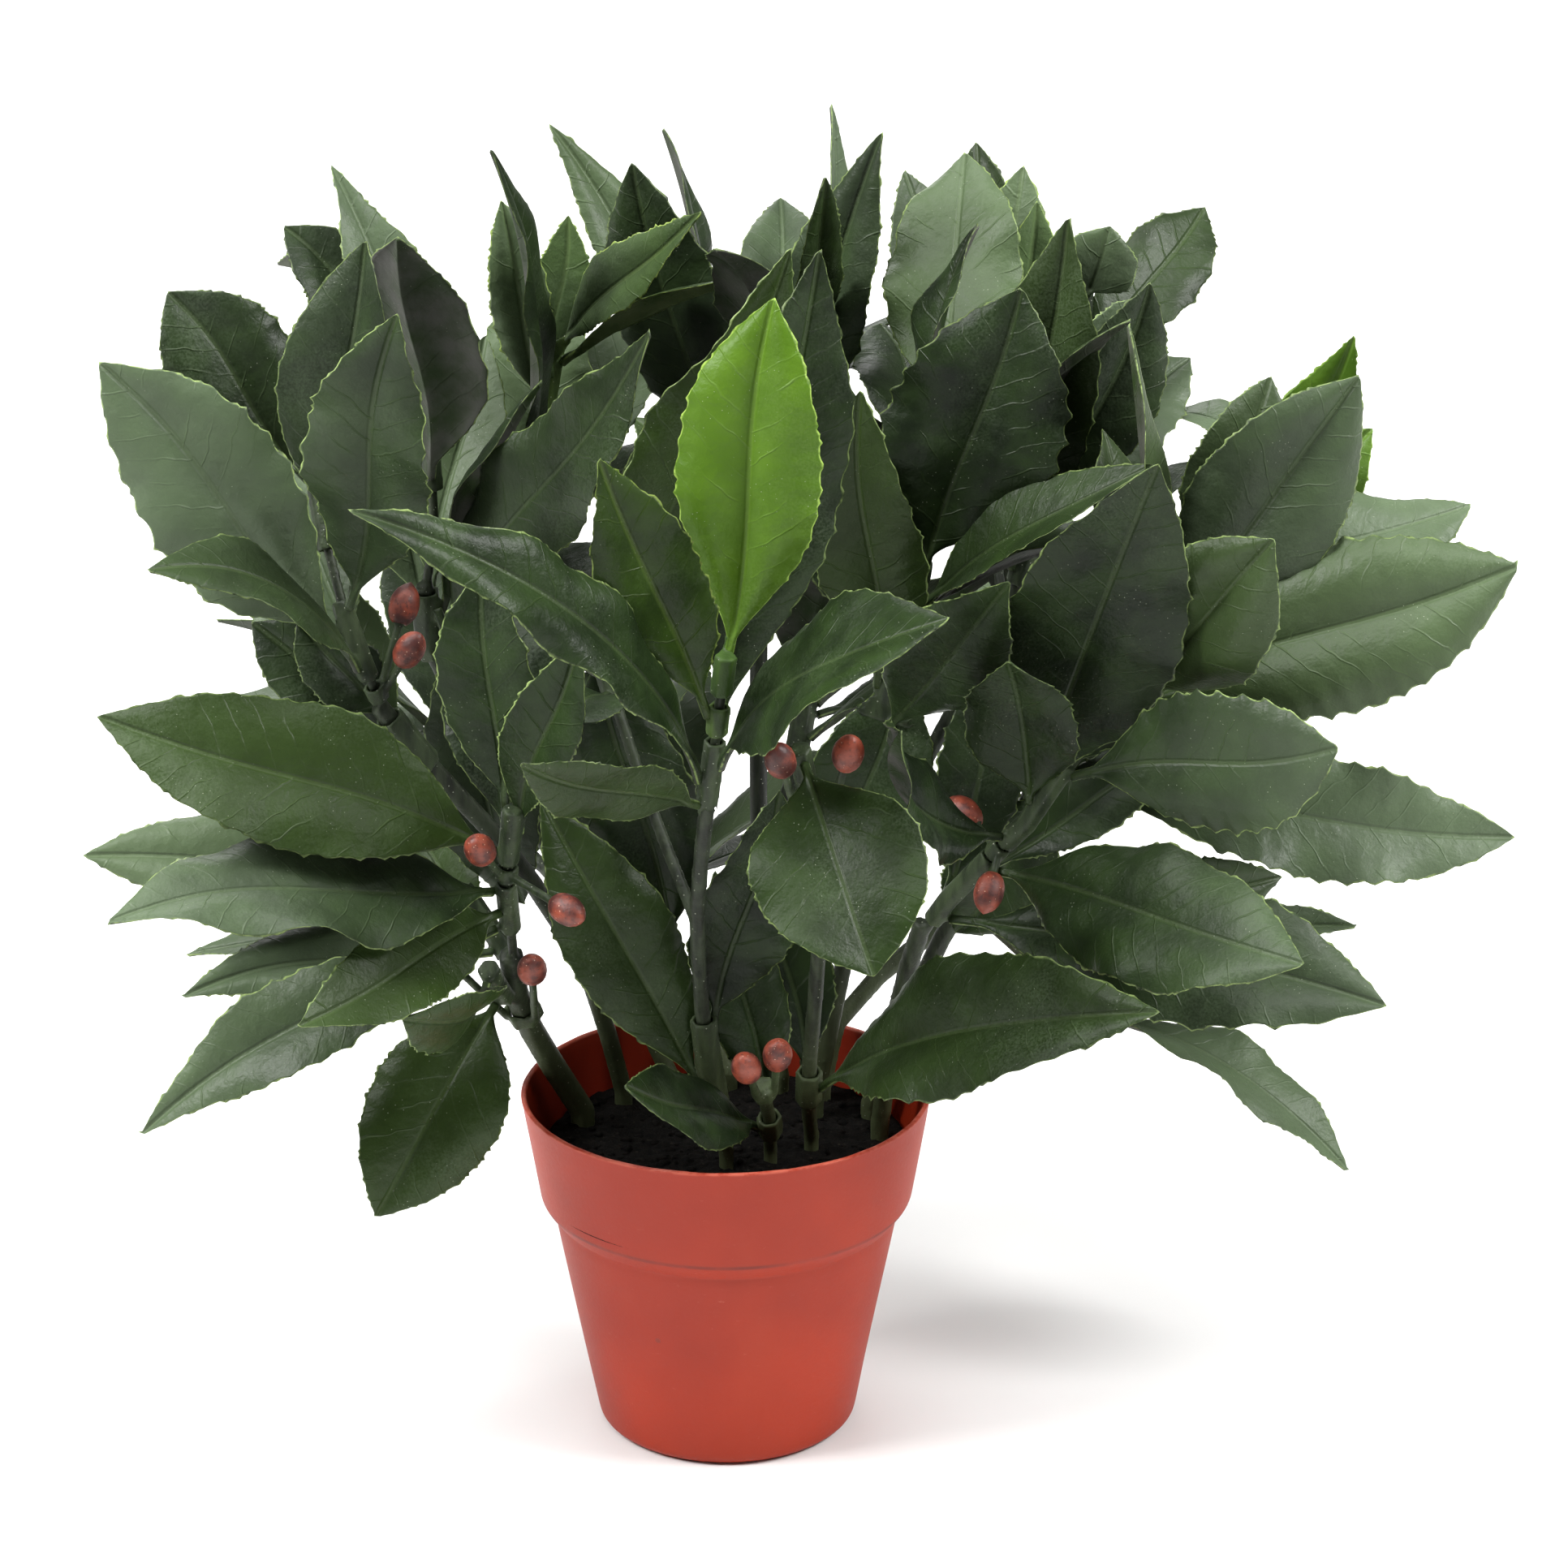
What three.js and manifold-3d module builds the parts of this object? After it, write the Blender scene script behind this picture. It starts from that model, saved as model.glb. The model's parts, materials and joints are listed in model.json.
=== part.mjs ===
// A potted bay laurel of moulded plastic: a nursery pot, a soil plug, branched stems, sets of leaves on
// sleeves that are pushed over the twigs, and small berries. Millimetres, +Z up. The origin is the centre
// of the pot's flat base, and the plant's best side faces -Y.
import * as THREE from "three";
import { mergeVertices } from "three/addons/utils/BufferGeometryUtils.js";
import Module from "manifold-3d";

const wasm = await Module();
wasm.setup();

// --- driving dimensions ---------------------------------------------------------------------------------

const POT_HEIGHT = 104;
const RIM_RADIUS = 60;
const COLLAR_FOOT_Z = 72;
const COLLAR_FOOT_RADIUS = 54.5;
const BODY_TOP_Z = 67;
const BODY_TOP_RADIUS = 50.6;
const BASE_RADIUS = 38.5;
const BASE_ROUNDING = 4;
const POT_WALL = 1.7;
const POT_SIDES = 36;

const SOIL_TOP_Z = 87;
const PLANTED_DEPTH = 18;
const STEM_RISE = 3;
const GAP = 0.3;
const SOIL_GAP = 0.4;

const TWIG_STEP = 20;
const SLEEVE_WALL = 1.6;
const TUBE_SIDES = 6;
const MERGED_BELOW = 0.5;
const LEAF_ROOM = 0.6;
const MARGIN_ROOM = 0.48;
const SLEEVE_MARGIN = 3;
const BERRY_COLLAR = 5;
const BERRY_STALK_RADIUS = 1.3;
const LEAF_THICKNESS = 1.7;
const STALK_HALF_WIDTH = 1.4;
const BERRY_RADIUS = 4.2;
const BERRY_LENGTH = 13;
const BERRY_SIDES = 8;
const BERRY_BELLY = 0.42;
const STALK_OVERLAP = 2;

// A leaf's outline: how far along it each section is, and how wide it is there, from 0 to 1.
const LEAF_OUTLINE = [
  [0.0, 0],
  [0.1, 0],
  [0.25, 0.66],
  [0.46, 1],
  [0.68, 0.86],
  [0.87, 0.44],
];

// The plant is arranged to be looked at from one side, as a florist does it. A place on it is written as
// [across, up, depth]: where it shows on the upright plane through the pot's axis when seen from EYE, and
// how far behind that plane it really is.
const EYE = new THREE.Vector3(17, -1200, 630);

// --- the arrangement ------------------------------------------------------------------------------------

// Each stem is a list of twigs: the first rises from the soil, and each other one springs from an earlier
// one. A twig has a name, a radius and its route.
const STEMS = {
  left_low: [
    ["left_low", 4.1, [[-42, 94, 15], [-52, 114, 8], [-60, 131, -5], [-62, 146, -18]]],
    ["left_low_tip", 1.7, [[-61, 141, -14], [-62, 156, -30], [-63, 170, -44], [-61, 186, -50]]],
    ["left_low_droop", 1.9, [[-60, 131, -5], [-65, 134, -18], [-68, 140, -28]]],
    ["left_low_back", 1.8, [[-59, 130, -4], [-64, 148, 8], [-74, 164, 12]]],
  ],
  left_up: [
    ["left_up", 3.1, [[-30, 100, 30], [-40, 140, 22], [-62, 178, 8], [-86, 206, -6], [-98, 222, -13]]],
    ["left_up_tip", 1.7, [[-95, 218, -11], [-104, 240, -20], [-110, 265, -12], [-113, 287, 0]]],
  ],
  left_back: [
    ["left_back", 3.0, [[-16, 105, 40], [-35, 150, 49], [-62, 200, 45], [-83, 240, 38], [-84, 258, 34]]],
    ["left_back_tip", 1.7, [[-84, 254, 35], [-80, 285, 32], [-86, 315, 40], [-90, 336, 50]]],
    ["rear_left", 2.4, [[-40, 160, 49], [-62, 185, 88], [-78, 215, 118]]],
  ],
  back_left: [
    ["back_left", 2.9, [[1, 106, 42], [-24, 165, 72], [-50, 230, 86], [-54, 270, 82]]],
    ["back_left_tip", 1.7, [[-54, 264, 83], [-51, 295, 78], [-46, 326, 80]]],
    ["rear_low", 2.4, [[-16, 150, 66], [-22, 165, 100], [-26, 188, 126]]],
  ],
  centre: [
    ["centre", 2.5, [[0, 79, -15], [-6, 120, -26], [-8, 160, -42], [-5, 192, -57]]],
    ["centre_tip", 1.7, [[-6, 186, -54], [-3, 208, -63], [0, 232, -68]]],
    ["centre_back", 2.0, [[-8, 155, -40], [-24, 200, -14], [-36, 242, 6]]],
  ],
  centre_low: [
    ["centre_low", 2.3, [[13, 79, -12], [13, 92, -21], [11, 103, -31]]],
  ],
  centre_right: [
    ["centre_right", 2.5, [[25, 83, -4], [24, 104, -20], [27, 150, -40], [26, 176, -58]]],
    ["centre_right_tip", 1.7, [[26, 170, -54], [25, 188, -66], [22, 206, -76]]],
  ],
  right_low: [
    ["right_low", 3.1, [[45, 91, 5], [50, 130, -2], [57, 156, -14]]],
    ["right_low_tip", 1.7, [[56, 151, -11], [68, 168, -24], [86, 186, -36], [96, 202, -40]]],
  ],
  right_mid: [
    ["right_mid", 3.1, [[42, 96, 20], [62, 150, 14], [85, 188, 0], [100, 208, -12]]],
    ["right_mid_tip", 1.7, [[97, 204, -9], [112, 220, -20], [124, 240, -22], [130, 262, -14]]],
  ],
  up: [
    ["up", 3.0, [[26, 97, 21], [37, 160, 22], [44, 215, 8], [52, 246, 2]]],
    ["up_tip", 1.7, [[51, 241, 3], [57, 270, 8], [59, 300, 18]]],
    ["right_up", 2.6, [[38, 166, 21], [62, 215, 34], [80, 250, 36], [90, 285, 34]]],
    ["right_up_tip", 1.7, [[89, 281, 34], [97, 308, 42], [99, 340, 60]]],
    ["right_up_back", 1.8, [[79, 248, 36], [74, 285, 66], [70, 325, 88]]],
  ],
  back: [
    ["back", 2.9, [[16, 105, 40], [10, 180, 60], [10, 250, 62]]],
    ["back_tip", 1.7, [[10, 244, 62], [15, 290, 60], [20, 325, 62]]],
    ["back_far", 1.8, [[10, 225, 61], [2, 280, 88], [-2, 328, 104]]],
    ["rear_mid", 2.4, [[11, 170, 58], [22, 215, 98], [24, 255, 124]]],
  ],
  right_back: [
    ["right_back", 3.1, [[28, 101, 33], [33, 126, 38], [74, 166, 62], [116, 215, 60], [136, 246, 46]]],
    ["right_back_tip", 1.7, [[134, 242, 48], [146, 268, 44], [152, 292, 48]]],
    ["right_back_low", 1.9, [[70, 161, 60], [88, 144, 60], [106, 125, 52]]],
    ["rear_right", 2.4, [[84, 175, 62], [88, 200, 98], [92, 228, 124]]],
  ],
};

// Leaf sets: the twig they are on, the stretch of it that their sleeve covers, and their leaves, each from
// the next place along the sleeve. A leaf is [tip, face, width, arch, fold]: face is the way its upper side
// looks, arch is how far its middle bulges that way, and fold is how deeply it is folded. Fill is how many
// more leaves stand round the sleeve, where the set has other than the usual number.
const LEAF_SETS = [
  { name: "leaf_low_left", on: "centre_low", stretch: [0.4, 0.5], leaves: [
    [[-30, 104, -70], [0, -2, 3], 28, 0, 0.2],
  ] },
  { name: "leaves_low_front", on: "centre", stretch: [0.17, 0.36], leaves: [
    [[-52, 194, -72], [1, -3, 0], 40, 3, 0.2],
    [[16, 196, -30], [0, -3, 0], 28, 2, 0.3],
  ] },
  { name: "leaf_low_right", on: "centre_right", stretch: [0.2, 0.26], leaves: [
    [[127, 127, -108], [0, -2, 2], 42, 14, 0.15],
  ] },
  { name: "leaf_bright", on: "centre_tip", stretch: [0.92, 1.04], kind: "bright", leaves: [
    [[14, 340, -62], [0, -4, 1], 38, 2, 0.15],
  ] },
  { name: "leaf_olive", on: "centre_tip", stretch: [0.68, 0.74], kind: "olive", leaves: [
    [[-35, 295, -92], [1, -4, 0], 28, 3, 0.2],
  ] },
  { name: "leaves_front", on: "centre_tip", stretch: [0.16, 0.52], leaves: [
    [[-58, 204, -110], [0, -3, -1], 23, 2, 0.2],
    [[-103, 282, -112], [2, -2, 2], 27, 21, 0.15],
    [[64, 247, -118], [-1, -2, 3], 46, 12, 0.15],
    [[26, 354, -40], [1, -4, 0], 38, 2, 0.25],
  ] },
  { name: "leaves_hanging", on: "centre_right_tip", stretch: [0.6, 1.02], leaves: [
    [[42, 148, -84], [2, -2, 1], 22, 4, 0.3],
    [[43, 139, -126], [0, -3, 1], 46, 5, 0.15],
  ] },
  { name: "leaves_left_droop", on: "left_low_droop", stretch: [0.5, 1], leaves: [
    [[-104, 62, -52], [-1, -4, 0], 38, 5, 0.15],
    [[-93, 124, -84], [1, -2, -1], 27, 7, 0.2],
  ] },
  { name: "leaves_left_low", on: "left_low_tip", stretch: [0.38, 0.64], leaves: [
    [[-174, 90, -60], [-1, -2, 2], 27, 7, 0.2],
    [[-125, 123, -104], [0, -3, 1], 25, 4, 0.2],
    [[-178, 159, -88], [0, -2, 3], 40, 6, 0.15],
  ] },
  { name: "leaves_left_mid", on: "left_low_tip", stretch: [0.84, 1.04], leaves: [
    [[-178, 219, -56], [0, -3, 2], 41, 8, 0.15],
    [[-41, 247, -72], [-1, -2, 0], 21, 2, 0.3],
    [[-69, 262, -60], [-1, -3, 0], 27, 2, 0.25],
  ] },
  { name: "leaves_left_under", on: "left_low_back", stretch: [0.5, 1], leaves: [
    [[-158, 134, -26], [0, -1, 2], 25, 5, 0.2],
    [[-156, 146, 8], [0, -1, 2], 25, 5, 0.2],
    [[-184, 176, -14], [0, -2, 2], 32, 8, 0.2],
  ] },
  { name: "leaves_left_side", on: "left_up", stretch: [0.86, 0.95], leaves: [
    [[-133, 247, -22], [0, -2, 1], 24, 3, 0.2],
    [[-120, 248, 6], [0, -3, 1], 20, 3, 0.2],
  ] },
  { name: "leaves_left_high", on: "left_up_tip", stretch: [0.26, 0.5], leaves: [
    [[-161, 264, -62], [1, -1, 3], 28, 12, 0.2],
    [[-172, 322, -38], [0, -3, 1], 41, 3, 0.15],
    [[-89, 336, -58], [-1, -4, -1], 34, 3, 0.2],
  ] },
  { name: "leaves_left_top", on: "left_up_tip", stretch: [0.78, 1], leaves: [
    [[-98, 356, -12], [-1, -3, 1], 34, 3, 0.2],
    [[-152, 342, -2], [0, -3, 2], 36, 3, 0.2],
  ] },
  { name: "leaves_up_front", on: "up", stretch: [0.8, 0.93], leaves: [
    [[80, 258, -56], [0, -3, 0], 30, 3, 0.2],
    [[38, 314, -24], [0, -4, 0], 30, 2, 0.2],
    [[30, 158, 28], [0, -3, 1], 34, 4, 0.2],
  ] },
  { name: "leaves_up_right", on: "up_tip", stretch: [0.16, 0.36], fill: 3, leaves: [
    [[119, 294, -30], [0, -2, 3], 26, 5, 0.2],
    [[82, 343, -22], [0, -5, 0], 48, 3, 0.12],
  ] },
  { name: "leaves_right_low", on: "right_low_tip", stretch: [0.16, 0.5], leaves: [
    [[192, 130, -70], [0, -2, 2], 43, 8, 0.15],
    [[168, 142, -112], [0, -3, 2], 41, 5, 0.15],
  ] },
  { name: "leaves_right_front", on: "right_low_tip", stretch: [0.66, 1], leaves: [
    [[49, 214, -96], [1, -2, 2], 30, -13, 0.2],
    [[80, 234, -60], [-1, -3, 0], 32, -4, 0.3],
    [[174, 209, -84], [0, -3, 1], 38, -3, 0.15],
  ] },
  { name: "leaves_right_mid", on: "right_mid", stretch: [0.82, 0.93], fill: 3, leaves: [
    [[121, 293, -72], [0, -4, 1], 48, 4, 0.15],
    [[226, 182, -6], [0, -2, 1], 34, 7, 0.2],
    [[66, 152, 14], [0, -3, 1], 32, 4, 0.2],
  ] },
  { name: "leaves_right_broad", on: "right_mid_tip", stretch: [0.22, 0.5], leaves: [
    [[160, 213, 2], [0, -1, 3], 26, 4, 0.2],
    [[223, 265, -40], [-1, -3, 2], 46, 8, 0.15],
    [[154, 271, -66], [-1, -4, 0], 39, 3, 0.15],
  ] },
  { name: "leaves_right_high", on: "right_mid_tip", stretch: [0.68, 1], leaves: [
    [[112, 333, -22], [3, -1, 0], 24, 2, 0.25],
    [[176, 318, -18], [-1, -4, 0], 41, 3, 0.15],
    [[208, 280, 14], [0, -2, 2], 34, 5, 0.2],
    [[152, 318, -30], [1, -3, 1], 27, 3, 0.25],
  ] },
  { name: "leaves_dark_centre", on: "centre_back", stretch: [0.8, 1.02], fill: 4, leaves: [
    [[-46, 216, -30], [0, -1, 3], 24, 4, 0.2],
    [[-6, 316, 20], [0, -3, 0], 30, 3, 0.2],
    [[18, 355, 6], [1, -3, -1], 42, 3, 0.2],
    [[-16, 152, 4], [0, -3, 0], 34, 4, 0.2],
  ] },
  { name: "leaves_left_inner", on: "left_back", stretch: [0.88, 0.97], fill: 4, leaves: [
    [[-18, 331, -16], [-1, -3, 2], 36, 4, 0.2],
    [[-50, 317, -6], [-2, 1, 2], 31, 4, 0.2],
    [[-58, 160, 34], [0, -3, 1], 32, 4, 0.2],
  ] },
  { name: "leaves_left_crown", on: "left_back_tip", stretch: [0.42, 0.94], leaves: [
    [[-88, 358, 4], [1, 3, 0], 36, 3, 0.2],
    [[-106, 377, 30], [2, -2, 1], 22, 6, 0.25],
    [[-119, 361, 62], [0, -1, 2], 24, 4, 0.2],
    [[-121, 351, 98], [2, -1, 1], 18, 4, 0.3],
  ] },
  { name: "leaves_back_left", on: "back_left_tip", stretch: [0.15, 0.36], fill: 3, leaves: [
    [[-58, 382, 44], [4, -1, 0], 27, 6, 0.25],
    [[-50, 348, 58], [0, -3, 2], 32, 3, 0.2],
  ] },
  { name: "leaves_back_left_olive", on: "back_left_tip", stretch: [0.74, 1], kind: "olive", leaves: [
    [[-60, 367, 66], [0, -3, 1], 17, 2, 0.2],
    [[-42, 363, 60], [0, -4, 0], 17, 2, 0.2],
    [[-5, 364, 34], [-3, -1, 0], 20, 3, 0.3],
  ] },
  { name: "leaves_top_right", on: "up_tip", stretch: [0.6, 1], fill: 4, leaves: [
    [[67, 362, 6], [-2, 0, 3], 25, 5, 0.2],
    [[66, 380, 40], [0, -3, 2], 38, 3, 0.2],
  ] },
  { name: "leaves_back_top", on: "back_tip", stretch: [0.5, 1], leaves: [
    [[32, 394, 82], [3, -2, 0], 18, 5, 0.3],
    [[43, 386, 72], [-1, -3, 1], 27, 3, 0.2],
    [[16, 368, 88], [0, -3, 0], 26, 3, 0.2],
    [[30, 372, 40], [2, -3, 0], 16, 2, 0.2],
  ] },
  { name: "leaves_back_far", on: "back_far", stretch: [0.6, 1], fill: 4, leaves: [
    [[-24, 378, 76], [-1, -3, 0], 34, 3, 0.2],
    [[-46, 389, 112], [1, -2, 1], 22, 4, 0.25],
    [[-16, 387, 134], [3, -1, 0], 18, 3, 0.3],
  ] },
  { name: "leaves_high_right", on: "right_up", stretch: [0.8, 0.94], leaves: [
    [[94, 362, 20], [-1, -4, 0], 36, 3, 0.2],
    [[118, 344, 6], [1, -3, 1], 29, 3, 0.2],
  ] },
  { name: "leaves_high_right_tip", on: "right_up_tip", stretch: [0.3, 1], leaves: [
    [[118, 341, 46], [0, -3, 0], 25, 2, 0.2],
    [[132, 366, 92], [0, -2, 1], 26, 4, 0.2],
    [[106, 360, 54], [0, -3, 0], 22, 2, 0.2],
  ] },
  { name: "leaves_high_back_young", on: "right_up_back", stretch: [0.5, 0.7], kind: "olive", leaves: [
    [[86, 367, 66], [0, -3, 1], 27, 2, 0.2],
    [[82, 377, 92], [0, -3, 1], 27, 2, 0.2],
  ] },
  { name: "leaves_high_back", on: "right_up_back", stretch: [0.85, 1], fill: 3, leaves: [
    [[50, 375, 122], [0, -3, -1], 24, 3, 0.2],
    [[69, 383, 110], [0, -2, 3], 24, 5, 0.2],
    [[100, 352, 116], [0, -3, 1], 28, 3, 0.2],
  ] },
  { name: "leaves_right_young", on: "right_back_tip", stretch: [0.3, 0.55], kind: "bright", leaves: [
    [[180, 303, 30], [0, -3, 1], 30, 3, 0.2],
    [[174, 330, 22], [0, -3, 1], 26, 3, 0.2],
  ] },
  { name: "leaves_right_back", on: "right_back_tip", stretch: [0.75, 1], fill: 4, leaves: [
    [[194, 236, 66], [0, -2, 2], 30, 6, 0.2],
    [[118, 306, 90], [0, -1, 4], 24, 8, 0.2],
  ] },
  { name: "leaves_right_under", on: "right_back_low", stretch: [0.5, 1], leaves: [
    [[160, 170, 82], [0, -3, 1], 28, 4, 0.2],
    [[182, 157, 56], [0, -1, 4], 22, 4, 0.2],
    [[185, 79, 22], [0, 0, 3], 26, 8, 0.2],
  ] },
];

// The rear is filled by fans of leaves: the twig, the stretch under the sleeve, and the way the fan opens,
// in degrees round from +X. Its leaves are evenly spread and rise and sink by turns.
const REAR_FANS = [
  { name: "leaves_rear_left", on: "rear_left", stretch: [0.5, 1], towards: 138 },
  { name: "leaves_rear_low", on: "rear_low", stretch: [0.45, 1], towards: 100 },
  { name: "leaves_rear_mid", on: "rear_mid", stretch: [0.5, 1], towards: 82 },
  { name: "leaves_rear_right", on: "rear_right", stretch: [0.5, 1], towards: 38 },
];
const FAN_SPREAD = 190;
const FAN_LENGTH = 90;
const FAN_RISES = [0.55, -0.1, 0.9, 0.15, 0.7, -0.3];
const FAN_WIDTH = 36;
const FAN_ARCH = 7;
const FAN_TILT = 0.4;
const USUAL_FOLD = 0.2;

// Inside the plant, each sleeve has a few more leaves, a golden angle apart round it. They lean out from
// the twig by their rise, and they stay behind the front leaves and inside the crown's outline.
const FILLERS = 2;
const FILLER_TRIES = 4;
const FILLER_LENGTH = 76;
const FILLER_WIDTH = 31;
const FILLER_RISE = 0.8;
const FILLER_ARCH = 4;
const FILLER_FRONT = -12;
const GOLDEN_ANGLE = 137.5;
const CROWN_CENTRE = new THREE.Vector3(20, 20, 225);
const CROWN_SIZE = new THREE.Vector3(172, 145, 140);

// Berries: the twig, how far along it their collar is, and where each berry is.
const BERRY_SPRIGS = [
  { name: "berries_low", on: "centre_low", at: 1, berries: [[15, 114, -44], [6, 110, -46]] },
  { name: "berries_left", on: "left_low_tip", at: 0.74, berries: [[-70, 178, -60], [-46, 160, -60]] },
  { name: "berries_left_under", on: "left_low", at: 0.62, berries: [[-79, 143, -22], [-56, 141, -30]] },
  { name: "berries_left_up", on: "left_up_tip", at: 0.14, berries: [[-90, 251, -4], [-89, 238, -20]] },
  { name: "berries_centre", on: "centre_right_tip", at: 0.3, berries: [[16, 205, -88], [35, 207, -78]] },
  { name: "berries_right", on: "right_low_tip", at: 0.58, berries: [[69, 189, -22], [76, 166, -40]] },
];

// --- places and curves ----------------------------------------------------------------------------------

function seen([across, up, depth]) {
  const reach = 1 - depth / EYE.y;
  return new THREE.Vector3(EYE.x + (across - EYE.x) * reach, depth, EYE.z + (up - EYE.z) * reach);
}

/** A route of straight lines through evenly spaced points. */
class Route extends THREE.Curve {
  constructor(points) {
    super();
    this.points = points;
  }

  getPoint(share) {
    const place = share * (this.points.length - 1);
    const index = Math.min(Math.floor(place), this.points.length - 2);
    return this.points[index].clone().lerp(this.points[index + 1], place - index);
  }

  getPointAt(share) {
    return this.getPoint(share);
  }

  getTangentAt(share) {
    return this.getTangent(share);
  }

  /** The place at a share of the way along; past either end, it runs straight on. */
  place(share) {
    const inside = THREE.MathUtils.clamp(share, 0, 1);
    const beyond = (share - inside) * this.getLength();
    return this.getPoint(inside).addScaledVector(this.getTangent(inside), beyond);
  }

  /** The stretch between two shares of the way along. */
  stretch(from, to) {
    const last = this.points.length - 1;
    const close = MERGED_BELOW / this.getLength();
    const isBetween = (_, index) => index / last > from + close && index / last < to - close;
    const between = this.points.filter(isBetween);
    return new Route([this.place(from), ...between, this.place(to)]);
  }

  /** The same route with both ends drawn out by the gap that a piece round it keeps. */
  drawnOut() {
    const over = GAP / this.getLength();
    return new Route([this.place(-over), ...this.points.slice(1, -1), this.place(1 + over)]);
  }
}

function twigRoute(points) {
  const curve = new THREE.CatmullRomCurve3(points);
  return new Route(curve.getSpacedPoints(Math.max(2, Math.round(curve.getLength() / TWIG_STEP))));
}

// --- solids ---------------------------------------------------------------------------------------------

function solidOf(positions, triangles) {
  const mesh = new wasm.Mesh({
    numProp: 3,
    vertProperties: new Float32Array(positions),
    triVerts: new Uint32Array(triangles),
  });
  const solid = new wasm.Manifold(mesh);
  if (solid.volume() > 0) {
    return solid;
  }
  const reversed = [];
  for (let i = 0; i < triangles.length; i += 3) {
    reversed.push(triangles[i], triangles[i + 2], triangles[i + 1]);
  }
  return solidOf(positions, reversed);
}

function solidOfGeometry(geometry) {
  geometry.deleteAttribute("normal");
  geometry.deleteAttribute("uv");
  const merged = mergeVertices(geometry);
  return solidOf(merged.attributes.position.array, merged.index.array);
}

function meshOf(name, solid, material) {
  const { vertProperties, triVerts } = solid.getMesh();
  const geometry = new THREE.BufferGeometry();
  geometry.setAttribute("position", new THREE.BufferAttribute(new Float32Array(vertProperties), 3));
  geometry.setIndex(new THREE.BufferAttribute(new Uint32Array(triVerts), 1));
  const mesh = new THREE.Mesh(geometry, material);
  mesh.name = name;
  return mesh;
}

function joined(solids) {
  return solids.reduce((whole, solid) => whole.add(solid));
}

function tube(route, radius) {
  const circle = new THREE.Shape().absarc(0, 0, radius, 0, 2 * Math.PI);
  const outline = new THREE.Shape(circle.getSpacedPoints(TUBE_SIDES).slice(0, TUBE_SIDES));
  const settings = { steps: route.points.length - 1, extrudePath: route, bevelEnabled: false };
  return solidOfGeometry(new THREE.ExtrudeGeometry(outline, settings));
}

function straightTube(start, end, radius) {
  return tube(new Route([start, end]), radius);
}

/** A solid of revolution round the Z axis, from a profile of [radius, height] points. */
function turned(profile, sides) {
  const points = profile.map(([radius, height]) => new THREE.Vector2(radius, height));
  return solidOfGeometry(new THREE.LatheGeometry(points, sides).rotateX(Math.PI / 2));
}

// --- pot and soil ---------------------------------------------------------------------------------------

function potOutline() {
  const foot = [];
  for (const degrees of [0, 30, 60, 90]) {
    const angle = THREE.MathUtils.degToRad(degrees);
    const radius = BASE_RADIUS - BASE_ROUNDING * (1 - Math.sin(angle));
    foot.push([radius, BASE_ROUNDING * (1 - Math.cos(angle))]);
  }
  const collar = [[BODY_TOP_RADIUS, BODY_TOP_Z], [COLLAR_FOOT_RADIUS, COLLAR_FOOT_Z]];
  return [...foot, ...collar];
}

function potRadius(height) {
  const rise = (height - COLLAR_FOOT_Z) / (POT_HEIGHT - COLLAR_FOOT_Z);
  return COLLAR_FOOT_RADIUS + (RIM_RADIUS - COLLAR_FOOT_RADIUS) * rise;
}

function potSolid() {
  const outside = potOutline();
  const inside = outside.map(([radius, height]) => [radius - POT_WALL, Math.max(height, POT_WALL)]);
  inside.splice(0, 2);
  const rim = [[RIM_RADIUS, POT_HEIGHT], [RIM_RADIUS - POT_WALL, POT_HEIGHT]];
  const profile = [[0, 0], ...outside, ...rim, ...inside.reverse(), [0, POT_WALL]];
  return turned(profile, POT_SIDES);
}

function soilSolid() {
  const wall = POT_WALL + SOIL_GAP;
  const foot = [BASE_RADIUS - wall - BASE_ROUNDING / 2, wall];
  const side = potOutline().slice(-2).map(([radius, height]) => [radius - wall, height]);
  const profile = [[0, wall], foot, ...side, [potRadius(SOIL_TOP_Z) - wall, SOIL_TOP_Z], [0, SOIL_TOP_Z]];
  return turned(profile, POT_SIDES);
}

// --- stems ----------------------------------------------------------------------------------------------

const twigs = {};

/** Grows a stem: its solid, and the room that it takes up in the pieces that go round it. */
function growStem(stemName, twigList) {
  const solids = [];
  const rooms = [];
  twigList.forEach(([name, radius, route], index) => {
    const points = route.map(seen);
    if (index === 0) {
      points[0].setZ(SOIL_TOP_Z + STEM_RISE);
    }
    const twig = twigRoute(points);
    twigs[name] = { stem: stemName, radius, twig };
    solids.push(tube(twig, radius));
    rooms.push(tube(twig.drawnOut(), radius + GAP));
  });
  const [, radius, route] = twigList[0];
  const foot = seen(route[0]).setZ(SOIL_TOP_Z - PLANTED_DEPTH);
  const top = foot.clone().setZ(SOIL_TOP_Z + STEM_RISE + 1);
  const hole = straightTube(foot.clone().setZ(foot.z - GAP), top, radius + GAP);
  solids.push(straightTube(foot, top, radius));
  return { solid: joined(solids), clearance: joined(rooms), hole };
}

// --- leaves ---------------------------------------------------------------------------------------------

/**
 * The sections of a leaf: each has its middle, the way to its left edge, and the way its face looks. The
 * midrib is one arched curve from the twig to the tip.
 */
function leafSections({ base, tip, face, arch }) {
  const along = tip.clone().sub(base).normalize();
  const outward = face.clone().addScaledVector(along, -face.dot(along)).normalize();
  const crest = base.clone().add(tip).multiplyScalar(0.5).addScaledVector(outward, 2 * arch);
  const midrib = new THREE.QuadraticBezierCurve3(base, crest, tip);
  return LEAF_OUTLINE.map(([fraction, breadth]) => {
    const tangent = midrib.getTangent(fraction);
    const side = new THREE.Vector3().crossVectors(tangent, outward).normalize();
    const up = new THREE.Vector3().crossVectors(side, tangent).normalize();
    return { middle: midrib.getPoint(fraction), side, up, breadth };
  });
}

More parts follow.
